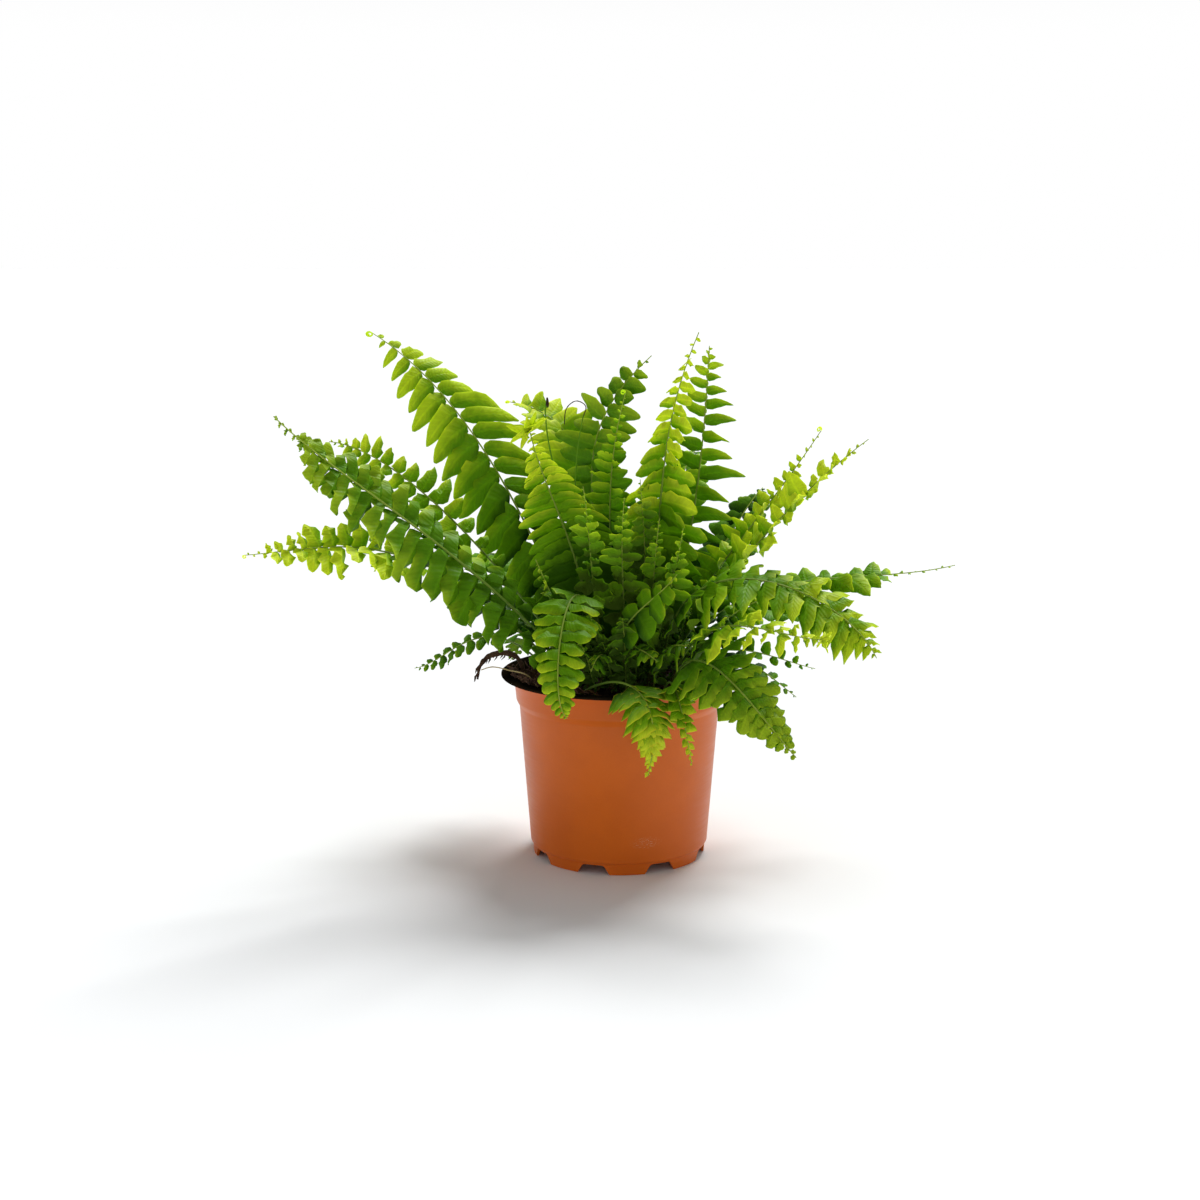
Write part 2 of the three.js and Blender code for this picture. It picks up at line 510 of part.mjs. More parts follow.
function stalkPath(stalk) {
  const [first, ...rest] = stalk.points;
  const points = [onSoil(first), ...rest.map((p) => new THREE.Vector3(...p))];
  const along = points[1].clone().sub(points[0]).normalize();
  points.unshift(points[0].clone().addScaledVector(along, -ROOT_DEPTH));
  const across = new THREE.Vector3(1, 0, 0).addScaledVector(along, -along.x).normalize();
  return { points, along, across, radii: [stalk.radii[0], ...stalk.radii] };
}

function stalkGeometry(stalk) {
  const { points, across, radii } = stalkPath(stalk);
  const skin = new Skin();
  const rings = points.map((p, i) => {
    const before = points[Math.max(0, i - 1)];
    const after = points[Math.min(points.length - 1, i + 1)];
    const along = after.clone().sub(before).normalize();
    across.addScaledVector(along, -across.dot(along)).normalize();
    const up = new THREE.Vector3().crossVectors(along, across);
    return Array.from({ length: STALK_SIDES }, (_, k) => {
      const turn = (2 * Math.PI * k) / STALK_SIDES;
      return skin.point(p.clone().addScaledVector(across, radii[i] * Math.cos(turn))
        .addScaledVector(up, radii[i] * Math.sin(turn)));
    });
  });
  for (let i = 0; i < rings.length - 1; i++) {
    for (let k = 0; k < STALK_SIDES; k++) {
      const [a, b] = [rings[i][k], rings[i][(k + 1) % STALK_SIDES]];
      const [c, d] = [rings[i + 1][k], rings[i + 1][(k + 1) % STALK_SIDES]];
      skin.triangles.push(a, b, d, a, d, c);
    }
  }
  const lastRing = rings.at(-1);
  for (let k = 1; k < STALK_SIDES - 1; k++) {
    skin.triangles.push(rings[0][0], rings[0][k + 1], rings[0][k]);
    skin.triangles.push(lastRing[0], lastRing[k], lastRing[k + 1]);
  }
  return skin.geometry();
}

function crownGeometry(crown, grow) {
  const [x, y, z] = crown.half.map((h) => h + grow);
  return new THREE.IcosahedronGeometry(1, 1).scale(x, y, z).translate(...crown.middle);
}

// ---- The whole plant ----

const plant = new THREE.Group();
let soil = soilSolid();

addMesh(plant, "pot", potGeometry(), 0xb4562a, 0.45);
FRONDS.forEach((frond, seed) => {
  addMesh(plant, frond.name, frondGeometry(frond, seed), LEAF_GREEN[frond.age], 0.55);
  soil = soil.subtract(frondHole(frond));
});
for (const stalk of STALKS) {
  addMesh(plant, stalk.name, stalkGeometry(stalk), LEAF_GREEN[stalk.age], 0.8);
  const { points, along, across } = stalkPath(stalk);
  soil = soil.subtract(stalkHole(points[1], along, across, stalk.radii[0]));
}
for (const crown of CROWNS) {
  addMesh(plant, crown.name, crownGeometry(crown, 0), LEAF_GREEN.dry, 0.9);
  soil = soil.subtract(solidOf(crownGeometry(crown, HOLE_GAP)));
}
addMesh(plant, "soil", geometryOf(soil), 0x2e2018, 0.95);

export default plant;
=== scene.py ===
"""A young sword fern in a thin plastic nursery pot. Metres, +Z up, the front faces -Y.

Sizes in the tables are millimetres. Each frond follows the midrib of its solid and carries finer
leaflets; the pot, the soil and the stalks are made again with their real edges and surfaces.
"""
import random
from math import cos, exp, hypot, pi, radians, sin, sqrt
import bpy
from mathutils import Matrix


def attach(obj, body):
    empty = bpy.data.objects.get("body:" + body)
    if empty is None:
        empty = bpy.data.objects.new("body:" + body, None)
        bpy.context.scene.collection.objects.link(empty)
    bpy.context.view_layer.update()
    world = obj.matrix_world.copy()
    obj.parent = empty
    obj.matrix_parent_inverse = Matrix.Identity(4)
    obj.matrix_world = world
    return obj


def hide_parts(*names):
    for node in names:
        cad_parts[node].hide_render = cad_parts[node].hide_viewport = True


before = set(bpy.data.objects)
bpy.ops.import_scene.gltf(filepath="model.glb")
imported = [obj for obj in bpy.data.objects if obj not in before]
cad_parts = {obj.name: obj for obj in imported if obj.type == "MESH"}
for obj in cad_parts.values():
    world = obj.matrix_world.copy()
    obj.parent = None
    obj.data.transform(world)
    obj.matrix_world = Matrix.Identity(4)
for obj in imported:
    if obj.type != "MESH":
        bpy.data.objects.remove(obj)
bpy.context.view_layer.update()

from types import SimpleNamespace as Sizes

import bmesh
import bpy
from mathutils import Matrix, Vector, noise

MM = 0.001
UP = Vector((0, 0, 1))
# A full turn in radians, and the rounder figure for it that the leaflets are drawn with.
TURN, ABOUT_A_TURN = 6.2832, 6.28
scene = bpy.context.scene

# ---- Sizes ----

POT = Sizes(
    height=94, lip_radius=60, lip_edge=1.2, lip_flare=2.4, band_top=53.5, band_low=52.4, band_z=79,
    band_step=1.5, body_top=50.8, body_low=45.4, foot_radius=44.4, foot_draft=0.5, foot_height=5.6,
    wall=1.2, foot_wall=2.2, rounding=0.42, steps=144,
)
NOTCH = Sizes(count=8, first=-107.5, half_angle=11, slope=3.4, height=5, rounding=1.2)
DRAIN = Sizes(radius=3.2, from_axis=33)
SOIL = Sizes(edge=84, crest=90, gap=0.3, steps=72, relief=1.3, crumbs=420, fibres=170)
ROOT_DEPTH = 9  # how far a stalk goes on below the top of the soil

# How a frond's leaflets look, where its row doesn't say otherwise. A pair is for the left and the
# right side, seen from the stalk, but for tone. dense is the pairs as a share of the row's pairs.
# tone is the colour at base and tip from 0, deep green, to 1, yellow-green, vary how much it
# differs from leaflet to leaflet and gold how yellow the edge is.
# grow is the length as a share of the row's, foot the share of it at the base, thin where along
# the blade the leaflets turn tiny and uneven how much their lengths differ. wide is the width as a
# share of the pitch, slim the most it can be as a share of the length and full where along it the
# end begins to round off.
# wave is the waves along the edges, cup how far the edges turn down, curl how far the end turns
# down, lean how far it bends forward, hang how much more it sags and fold how much more it rises.
# sweep is how far the leaflet points forward, tilt how far it lies over the next, twist how much
# each turns at random and loose how much each rises or falls. These four and fold are in degrees.
# star is the pointed leaflets in the tuft at the tip and coil the radius of the rolled tip.
LOOK = dict(
    dense=1, tone=(0.25, 0.55), vary=0.13, gold=0.0, grow=(1, 1), foot=0.5, thin=1, uneven=0.12,
    wide=(1.25, 1.25), slim=0.7, full=0.4, wave=0.25, cup=0.35, curl=0.12, lean=0.06, hang=(0, 0),
    fold=(0, 0), sweep=(6, 6), tilt=12, twist=14, loose=9, star=0, coil=0)
SLOT_TONES = dict(young=(0.4, 0.85), fresh=(0.35, 0.65), green=(0.28, 0.6), dark=(0.2, 0.5))
INNER = dict(
    dense=1.5, tone=(0.36, 0.82), vary=0.26, grow=(0.92, 0.92), uneven=0.35,
    wide=(1.05, 1.05), wave=0.4, cup=0.6, curl=0.38, twist=36, loose=34)

FIELDS = ("name", "slot", "root", "low", "high", "tip", "leaflet", "pairs", "bare", "roll",
          "lift", "sag", "blunt", "look")
# Every name and slot goes on after "frond_". root is where the stalk leaves the soil; low, high and
# tip lie a third, two thirds and all of the way along the midrib. leaflet is the longest leaflet,
# pairs the pairs of leaflets, bare the bare share of the midrib, roll the turn of the blade at base
# and tip, lift the rise of the leaflets out of the blade, both in degrees, sag how far their ends
# hang, blunt how full the blade stays towards its tip and look what differs from LOOK.
FRONDS = [
    ("left_tall", "green", (-12, 10), (-41, 38, 148), (-79, 65, 211),
     (-133, 90, 261), 31, 19, 0.12, (-28, -28), 8, 0.22, 2.1,
     dict(tone=(0.12, 1.1), grow=(0.8, 1.3), wide=(1.35, 0.95), full=0.25, curl=0.18,
          hang=(0.4, 0.12), sweep=(-6, -24), coil=2.0)),
    ("left_broad", "dark", (-17, -10), (-70, -46, 152), (-118, -82, 198),
     (-151, -121, 234), 28, 24, 0.1, (-72, -66), 5, 0.25, 1.05,
     dict(tone=(0.42, 0.76), grow=(0.9, 0.95), thin=0.8, uneven=0.16, wide=(1.3, 1.35), full=0.62,
          wave=0.55, cup=0.8, hang=(0.05, 0), fold=(0, -5), tilt=15, twist=15, loose=11)),
    ("left_yellow", "young", (-19, 3), (-68, 16, 151), (-113, 26, 192),
     (-149, 30, 208), 16, 15, 0.26, (-45, -50), 15, 0, 1.2,
     dict(tone=(0.5, 0.9), grow=(1.1, 1.15), uneven=0.25, wide=(1, 1), full=0.12, wave=0.45,
          curl=0.3, twist=32, loose=24)),
    ("left_level", "young", (-26, -1), (-90, -10, 147), (-138, -32, 163),
     (-178.1, -58, 163), 14, 15, 0.26, (-30, -60), 25, 0.1, 1.5,
     dict(tone=(0.68, 1.05), grow=(1.3, 1.3), thin=0.85, uneven=0.25, wide=(1.5, 1.5), full=0.2,
          wave=0.45, twist=26, loose=16, coil=0.9)),
    ("left_low", "dark", (-32, 8), (-64, 22, 107), (-88, 32, 98),
     (-108, 38, 87), 9, 9, 0.3, (-20, -50), 10, 0.2, 1.2,
     dict(tone=(0.4, 0.6), twist=20)),
    ("middle_bright", "young", (-9, -5), (-21, -4, 148), (-34, -2, 184),
     (-44, -20, 218), 26, 19, 0.08, (-90, -80), 10, 0.15, 0.6,
     dict(tone=(0.05, 1.05), grow=(1.15, 1.5), foot=1, wide=(1.4, 1.4), full=0.3, hang=(0.1, 0.3),
          sweep=(6, -8), star=12)),
    ("middle_back", "young", (-6, 14), (-14, 45, 160), (-26, 78, 204),
     (-60, 100, 223), 20, 11, 0.3, (0, -10), 20, 0, 1.8,
     dict(tone=(0.5, 0.95), grow=(1.3, 1.3), wide=(1.4, 1.4), full=0.15, twist=22, loose=16,
          coil=1.4)),
    ("crown_hook", "dark", (-1, 16), (-11, 30, 158), (-12, 42, 207),
     (17, 47, 251), 24, 14, 0.2, (0, 0), 10, 0.1, 2.5,
     dict(tone=(0.45, 0.85), uneven=0.2, wide=(1.15, 1.15), full=0.25, curl=0.25, twist=22,
          loose=16)),
    ("crown_slim", "fresh", (0, 8), (-4, 13, 149), (-4, 18, 192),
     (3, 16, 234), 13, 20, 0.1, (0, 0), 20, 0, 1,
     dict(tone=(0.3, 0.8), grow=(1.2, 1), uneven=0.2, full=0.3, curl=0.25, twist=26, loose=24,
          coil=1.2)),
    ("crown_yellow", "young", (10, -1), (19, 3, 158), (24, 4, 211),
     (39, 0, 265), 25, 20, 0.15, (70, 80), 32, 0, 0.55,
     dict(tone=(0.45, 1.25), vary=0.2, grow=(0.95, 1.15), foot=1, uneven=0.2, wide=(1.4, 1.4),
          full=0.5, wave=0.45, curl=0.3, hang=(0.5, 0.3), twist=26, loose=22)),
    ("crown_right", "green", (16, 13), (35, 35, 147), (44, 44, 210),
     (47, 48, 256), 23, 17, 0.1, (15, 20), 12, 0.15, 1.9,
     dict(tone=(0.2, 1.0), wide=(0.8, 0.8), full=0.2, curl=0.5, hang=(0, 0.3), sweep=(14, 20),
          twist=26, loose=24)),
    ("right_back", "dark", (18, 19), (43, 50, 127), (64, 76, 158),
     (80, 96, 176), 22, 12, 0.15, (0, 0), 5, 0.1, 1.2,
     dict(tone=(0.15, 0.45), full=0.3)),
    ("right_slim", "young", (17, 5), (44, 12, 135), (72, 17, 172),
     (102, 15, 215), 17, 20, 0.14, (20, 30), 25, 0, 0.9,
     dict(tone=(0.65, 1.0), thin=0.88, uneven=0.3, wide=(1.5, 1.5), full=0.1, wave=0.4, twist=34,
          loose=30, coil=1.4)),
    ("right_rising", "young", (19, -5), (47, -12, 134), (81, -22, 178),
     (120, -28, 215), 18, 17, 0.12, (20, 30), 25, 0, 1.5,
     dict(tone=(0.7, 1.05), grow=(1.1, 1.1), uneven=0.3, wide=(1.5, 1.5), full=0.1, wave=0.4,
          twist=32, loose=28)),
    ("right_arching", "green", (22, -12), (42, -40, 145), (87, -61, 145),
     (119, -80, 118), 22, 18, 0.12, (25, 30), 4, 0.2, 2.6,
     dict(tone=(0.42, 0.88), grow=(1.12, 1.12), uneven=0.22, wide=(1.45, 1.45), slim=0.6, full=0.05,
          wave=0.45, cup=0.45, twist=22, loose=12)),
    ("right_long", "green", (26, 4), (66, 22, 128), (121, 38, 136),
     (178, 46, 141), 17, 16, 0.18, (20, 20), 12, 0.1, 2,
     dict(tone=(0.4, 0.8), thin=0.66, uneven=0.3, wide=(1.6, 1.6), slim=0.75, full=0.08, twist=28,
          loose=18)),
    ("right_curled", "young", (26, -16), (42, -56, 126), (66, -91, 134),
     (89, -114, 134), 16, 10, 0.18, (30, 40), 20, 0.35, 1.2,
     dict(tone=(0.55, 0.95), uneven=0.25, wide=(1.2, 1.2), full=0.15, wave=0.45, twist=32, loose=30,
          star=6)),
    ("right_twisted", "fresh", (32, 0), (52, 2, 104), (77, 5, 101),
     (101, 10, 93), 8, 7, 0.25, (20, 60), 20, 0, 1.3),
    ("right_low", "dark", (24, -26), (38, -58, 112), (58, -88, 101),
     (79, -112, 79), 26, 15, 0.23, (35, 30), 4, 0.1, 0.65,
     dict(tone=(0.45, 0.92), grow=(0.92, 0.85), foot=1, wide=(1.6, 1.6), slim=0.9, full=0.55,
          wave=0.35, cup=0.5, sweep=(12, 12), twist=9, loose=8)),
    ("right_dark", "dark", (31, -7), (52, -14, 104), (72, -20, 98),
     (88, -24, 86), 10, 7, 0.2, (20, 20), 10, 0.2, 1),
    ("front_left", "green", (-8, -16), (-21, -42, 141), (-29, -76, 120),
     (-25, -87, 91), 20, 17, 0.22, (-8, -10), 12, 0.1, 0.8,
     dict(tone=(0.45, 0.68), vary=0.09, grow=(1, 0.88), wide=(1.15, 1.25), full=0.6, cup=0.6,
          curl=0.2, twist=18, loose=15)),
    ("front_hanging", "young", (-24, -34), (-2, -51, 100), (13, -69, 92),
     (13, -72, 59), 27, 15, 0.44, (0, 0), 4, 0.1, 0.35,
     dict(tone=(0.4, 1.15), gold=0.6, foot=1, wide=(2.4, 2.4), slim=1, full=0.02, wave=0.4,
          sweep=(22, 22), twist=9, loose=6)),
    ("front_thin", "young", (20, -38), (25, -56, 100), (30, -68, 85),
     (34, -71, 64), 9, 10, 0.3, (0, 0), 20, 0.1, 0.35,
     dict(tone=(0.45, 1.1), gold=0.6, grow=(1.2, 1.2), foot=1, wide=(2.5, 2.5), slim=1, full=0.02,
          sweep=(24, 24))),
    ("front_round", "green", (-11, -24), (1, -38, 122), (13, -48, 138),
     (27, -53, 153), 14, 5, 0.24, (80, 60), 5, 0.25, 1.6,
     dict(tone=(0.5, 0.78), grow=(0.9, 0.97), wide=(1.4, 1.4), slim=0.95, full=0.66, wave=0.12,
          cup=0.25, curl=0.1, tilt=5, twist=10, loose=8)),
    ("front_dark", "dark", (6, -27), (5, -37, 111), (11, -45, 114),
     (18, -51, 110), 10, 5, 0.05, (20, 20), 5, 0.3, 1.4, INNER),
    ("front_small", "dark", (-3, -25), (-6, -37, 107), (-10, -42, 111),
     (-14, -46, 104), 9, 4, 0.05, (0, 0), 5, 0.2, 1.4, INNER),
    ("inner_first", "fresh", (-5, -11), (-12, -17, 133), (-15, -24, 165),
     (-18, -28, 192), 12, 10, 0.05, (0, 0), 20, 0, 1.2, INNER),
    ("inner_second", "fresh", (3, -13), (2, -21, 134), (1, -27, 160),
     (2, -32, 187), 13, 10, 0.05, (0, 0), 20, 0, 1.2, INNER),
    ("inner_third", "fresh", (9, -13), (15, -20, 129), (17, -27, 153),
     (19, -33, 177), 11, 10, 0.05, (0, 0), 20, 0, 1.2, INNER),
    ("inner_fourth", "fresh", (13, -20), (20, -35, 125), (26, -41, 152),
     (30, -46, 174), 12, 9, 0.05, (10, 10), 15, 0.1, 1.2, INNER),
    ("inner_dark", "dark", (16, -27), (21, -36, 110), (27, -41, 116),
     (32, -46, 117), 13, 6, 0.05, (20, 20), 10, 0.25, 1.4, INNER),
    ("inner_left", "dark", (-14, -17), (-25, -27, 118), (-34, -31, 140),
     (-41, -34, 157), 10, 8, 0.05, (-30, -40), 10, 0.2, 1.2, INNER),
    ("inner_low", "dark", (-3, -19), (-10, -27, 112), (-13, -33, 124),
     (-15, -38, 132), 8.5, 6, 0.05, (0, 0), 5, 0.25, 1.4, INNER),
    ("inner_right", "green", (24, -2), (44, -1, 112), (62, 1, 126),
     (78, 2, 132), 12, 8, 0.05, (30, 30), 5, 0.3, 1.3, INNER),
    ("inner_middle", "dark", (7, -6), (12, -8, 137), (12, -12, 167),
     (10, -16, 194), 11, 9, 0.05, (0, 0), 15, 0.1, 1.2, INNER),
    ("back_middle", "green", (2, 29), (4, 62, 128), (7, 94, 150),
     (10, 120.9, 144), 24, 12, 0.14, (0, 0), 4, 0.15, 1.1),
    ("back_right", "dark", (15, 28), (40, 60, 116), (62, 92, 128),
     (80, 121, 116), 22, 12, 0.14, (0, 0), 4, 0.15, 1.1),
    ("back_left", "green", (-13, 27), (-38, 60, 122), (-62, 92, 138),
     (-88, 121, 130), 22, 12, 0.14, (0, 0), 4, 0.15, 1.1),
    ("side_right", "green", (28, 16), (56, 38, 112), (88, 54, 116),
     (116, 66, 102), 17, 10, 0.16, (0, 0), 4, 0.15, 1.1),
    ("side_left", "green", (-27, 16), (-54, 42, 116), (-78, 60, 130),
     (-100, 78, 130), 18, 9, 0.25, (0, 0), 4, 0.15, 1.1),
    ("back_tall", "fresh", (-3, 22), (-7, 52, 146), (-11, 82, 180),
     (-12, 112, 194), 22, 12, 0.24, (0, 0), 6, 0.15, 1.1),
    ("back_tall_right", "fresh", (9, 21), (22, 50, 146), (34, 80, 182),
     (44, 108, 196), 21, 12, 0.22, (0, 0), 6, 0.15, 1.1),
    ("back_low", "dark", (7, 38), (19, 66, 108), (33, 88, 98),
     (44, 104, 74), 20, 9, 0.25, (0, 0), 4, 0.1, 1.1),
    ("back_low_left", "dark", (-21, 32), (-34, 60, 108), (-48, 82, 99),
     (-60, 98, 78), 19, 9, 0.18, (0, 0), 4, 0.1, 1.1),
]

# The small foliage between the stalks: a fan of short fronds about a centre. first and spread are
# where the fan begins and how wide it is, in degrees.
YOUNG = Sizes(count=18, centre=(8, -3), ground=88, first=-165, spread=160, reach=(12, 33),
             lean=(10, 20), rise=(24, 44), leaflet=(7, 10))

# Stalks with no leaflets: points along the middle, the first on the soil, and the radius at each.
STALKS = {
    "crozier": (((-10, 21), (-22, 30, 150), (-35, 37, 200), (-38, 38, 222), (-37, 38, 226),
                 (-37, 38, 230)), (0.9, 0.8, 0.6, 0.6, 1.5, 0.7)),
    "runner_middle": (((-15, 20), (-23, 24, 140), (-22, 27, 195), (-19, 28, 218), (-17, 28, 226),
                       (-22, 28, 229), (-27, 28, 225), (-28, 28, 217)),
                      (0.8, 0.6, 0.5, 0.4, 0.4, 0.4, 0.4, 0.35)),
    "dry_frond": (((-46, -4), (-50, -6, 100), (-56, -8, 105), (-65, -9, 104), (-70, -10, 99),
                   (-71.5, -10, 92)), (1.2, 1.3, 1.6, 1.5, 1.1, 0.5)),
    "dry_straw": (((-36, -28), (-45, -26, 97), (-55, -25, 100), (-63, -22, 101), (-69, -20, 99)),
                  (0.6, 0.5, 0.45, 0.45, 0.35)),
}
# Rootstocks: the middle, half the size, and how many dead roots run from it along the rim.
CROWNS = {"crown_left": ((-39, -15, 89), (7, 9, 9), 90),
          "crown_middle": ((0, -2, 90), (5, 4, 6), 0)}
CROWN_SCALES = 130

# The heart of the plant, where the green is painted deeper by depth, as painted shade among the
# crowded fronds. That fades out at reach.
HEART_SHADE = Sizes(middle=Vector((8, -4, 112)), depth=0.55, reach=75)
# A leaflet's faces along and across it, and its thickness.
LEAFLET = Sizes(along=8, across=2, thickness=0.28)
# A stalk has its full radius under leaflets of the length long or more, and tapers to its tip.
STEM = Sizes(radius=0.78, long=25, taper=0.68, steps=26, sides=6, scales=12)
# A rolled tip: how much narrower it ends, and how far each step lies beside the last.
COIL = Sizes(steps=18, turns=1.6, tightening=0.55, advance=0.05)
# The tuft at a tip: how wide it fans and how unevenly, in degrees, its leaflets' length as a share
# of the frond's longest, their width as a share of that and their rise in degrees.
TUFT = Sizes(spread=240, uneven=14, size=(0.35, 0.52), slim=0.42, rise=(-30, 50))

# ---- Materials ----


def add_node(tree, kind, inputs=None, **settings):
    """A node with its settings, and its inputs set to a value or linked from a socket."""
    node = tree.nodes.new("ShaderNode" + kind)
    for key, value in settings.items():
        setattr(node, key, value)
    for key, value in (inputs or {}).items():
        if isinstance(value, bpy.types.NodeSocket):
            tree.links.new(value, node.inputs[key])
        else:
            node.inputs[key].default_value = value
    return node


def maths(tree, operation, *values):
    node = add_node(tree, "Math", dict(enumerate(values)), operation=operation)
    return node.outputs[0]


def maths_by(operation):
    return lambda tree, *values: maths(tree, operation, *values)


times, plus, less, most = map(maths_by, ("MULTIPLY", "ADD", "SUBTRACT", "MAXIMUM"))


def faded(tree, value, low, high, to_low=0.0, to_high=1.0):
    """value eased from low..high to to_low..to_high."""
    node = add_node(tree, "MapRange", {0: value, 1: low, 2: high, 3: to_low, 4: to_high},
                    interpolation_type="SMOOTHSTEP")
    return node.outputs[0]


def blended(tree, share, first, second, blend="MIX"):
    node = add_node(tree, "Mix", {0: share, 6: first, 7: second}, data_type="RGBA",
                    blend_type=blend)
    return node.outputs[2]


def noise_at(tree, where, scale, detail=3.0, rough=0.5):
    return add_node(tree, "TexNoise", {"Vector": where, "Scale": scale, "Detail": detail,
                                       "Roughness": rough}).outputs["Fac"]


def object_place(tree):
    return add_node(tree, "TexCoord").outputs["Object"]


def attribute(tree, name):
    return add_node(tree, "Attribute", attribute_name=name).outputs["Fac"]


def new_group(name, inputs, outputs):
    """An empty node group. inputs and outputs map a socket's name to its default or its type."""
    group = bpy.data.node_groups.new(name, "ShaderNodeTree")
    for key, value in inputs.items():
        kind = "NodeSocketColor" if isinstance(value, tuple) else "NodeSocketFloat"
        socket = group.interface.new_socket(key, in_out="INPUT", socket_type=kind)
        socket.default_value = value
    for key, kind in outputs.items():
        group.interface.new_socket(key, in_out="OUTPUT", socket_type="NodeSocket" + kind)
    given, made = (group.nodes.new("NodeGroup" + way) for way in ("Input", "Output"))
    return group, given.outputs, made.inputs


def leaf_group():
    """A leaflet's markings: midvein, slanting side veins, pale margin brightened as a painted
    highlight, blotches and underside.
    """
    tree, given, made = new_group(
        "leaf_markings",
        {"Deep": (0.02, 0.07, 0.004, 1), "Middle": (0.1, 0.22, 0.01, 1),
         "Light": (0.4, 0.5, 0.02, 1), "Under": (0.2, 0.3, 0.06, 1)},
        {"Color": "Color", "Roughness": "Float", "Height": "Float"})
    links = tree.links
    place = object_place(tree)
    leaf = add_node(tree, "UVMap", uv_map="leaf").outputs[0]
    uv = add_node(tree, "SeparateXYZ", {0: leaf}).outputs
    across = times(tree, maths(tree, "ABSOLUTE", less(tree, uv[1], 0.5)), 2.0)
    midvein = faded(tree, across, 0.04, 0.2, 1.0, 0.0)
    side_veins, slope = 13.0, 1.6
    slant = less(tree, times(tree, uv[0], side_veins), times(tree, across, slope))
    vein = maths(tree, "SINE", times(tree, slant, TURN))
    veins = times(tree, faded(tree, vein, 0.2, 1.0), faded(tree, across, 0.95, 0.6))
    margin = faded(tree, across, 0.78, 1.0)
    blotch = noise_at(tree, place, 90.0, 3.0, 0.6)
    tone = plus(tree, attribute(tree, "tone"), faded(tree, blotch, 0.3, 0.7, -0.07, 0.07))
    lower = blended(tree, faded(tree, tone, 0.0, 0.5), given["Deep"], given["Middle"])
    colour = blended(tree, faded(tree, tone, 0.5, 1.0), lower, given["Light"])
    line = most(tree, times(tree, midvein, 0.28), times(tree, veins, 0.08))
    # Painted highlight: the margin is paled strongly, partly the leaf's own pale edge and partly
    # light caught by the edges.
    line = most(tree, line, times(tree, margin, 0.5))
    paler = blended(tree, 1.0, colour, (1.8, 1.6, 1.7, 1), "MULTIPLY")
    colour = blended(tree, line, colour, paler)
    edge = most(tree, margin, faded(tree, uv[0], 0.75, 1.0))
    gold = times(tree, attribute(tree, "gold"), edge)
    colour = blended(tree, gold, colour, (0.62, 0.5, 0.03, 1))
    under = attribute(tree, "under")
    colour = blended(tree, times(tree, under, 0.2), colour, given["Under"])
    grain = noise_at(tree, place, 1500.0, 2.0, 0.6)
    rough = faded(tree, grain, 0.3, 0.7, 0.4, 0.52)
    links.new(colour, made["Color"])
    links.new(plus(tree, rough, times(tree, under, 0.15)), made["Roughness"])
    ridges = times(tree, plus(tree, vein, 1.0), faded(tree, across, 1.0, 0.7))
    height = less(tree, times(tree, ridges, 0.35), times(tree, midvein, 0.9))
    links.new(plus(tree, height, times(tree, grain, 0.25)), made["Height"])
    return tree


def speckle_group():
    """Uneven colour of a natural or moulded surface: soft clouds, fine specks and a fine relief."""
    tree, given, made = new_group(
        "uneven_surface",
        {"Base": (0.5, 0.5, 0.5, 1), "Other": (0.3, 0.3, 0.3, 1), "Cloud Scale": 60.0,
         "Speck Scale": 900.0, "Specks": 0.3},
        {"Color": "Color", "Mask": "Float", "Height": "Float"})
    place = object_place(tree)
    cloud = noise_at(tree, place, given["Cloud Scale"], 4.0, 0.55)
    speck = noise_at(tree, place, given["Speck Scale"], 2.0, 0.7)
    specks = times(tree, less(tree, speck, 0.5), given["Specks"])
    mask = faded(tree, plus(tree, cloud, specks), 0.35, 0.65)
    tree.links.new(blended(tree, mask, given["Base"], given["Other"]), made["Color"])
    tree.links.new(mask, made["Mask"])
    tree.links.new(speck, made["Height"])
    return tree


def new_material(name, gloss, rough=0.5):
    """A material, its nodes and its shader. rough is for one that is equally rough all over."""
    material = bpy.data.materials.new(name)
    material.use_nodes = True
    shader = material.node_tree.nodes["Principled BSDF"]
    shader.inputs["Specular IOR Level"].default_value = gloss
    shader.inputs["Roughness"].default_value = rough
    return material, material.node_tree, shader


def placed_group(tree, group, **values):
    node = tree.nodes.new("ShaderNodeGroup")
    node.node_tree = group
    for key, value in values.items():
        node.inputs[key.replace("_", " ")].default_value = value
    return node.outputs


def dress(tree, shader, colour, rough, height, strength, distance):
    """Links the colour, the relief and, unless it is None, the roughness to the shader."""
    bump = add_node(tree, "Bump", {"Height": height, "Strength": strength, "Distance": distance})
    for key, value in (("Base Color", colour), ("Roughness", rough), ("Normal", bump.outputs[0])):
        if value is not None:
            tree.links.new(value, shader.inputs[key])


LEAF_MARKINGS = leaf_group()
UNEVEN = speckle_group()
GLOW = (1.3, 1.5, 0.4, 1)  # what a leaf's colour is multiplied by where light comes through


def leaf_material(name, through, deep, middle, light, under):
    """A living leaf: the gloss of its skin, and the share of light that comes through it."""
    material, tree, shader = new_material(name, gloss=0.09)
    marks = placed_group(tree, LEAF_MARKINGS, Deep=deep, Middle=middle, Light=light, Under=under)
    dress(tree, shader, marks["Color"], marks["Roughness"], marks["Height"], 0.4, 0.0004)
    glow = blended(tree, 1.0, marks["Color"], GLOW, "MULTIPLY")
    lit = add_node(tree, "BsdfTranslucent", {"Color": glow})
    both = add_node(tree, "MixShader", {0: through, 1: shader.outputs[0], 2: lit.outputs[0]})
    tree.links.new(both.outputs[0], tree.nodes["Material Output"].inputs["Surface"])
    return material


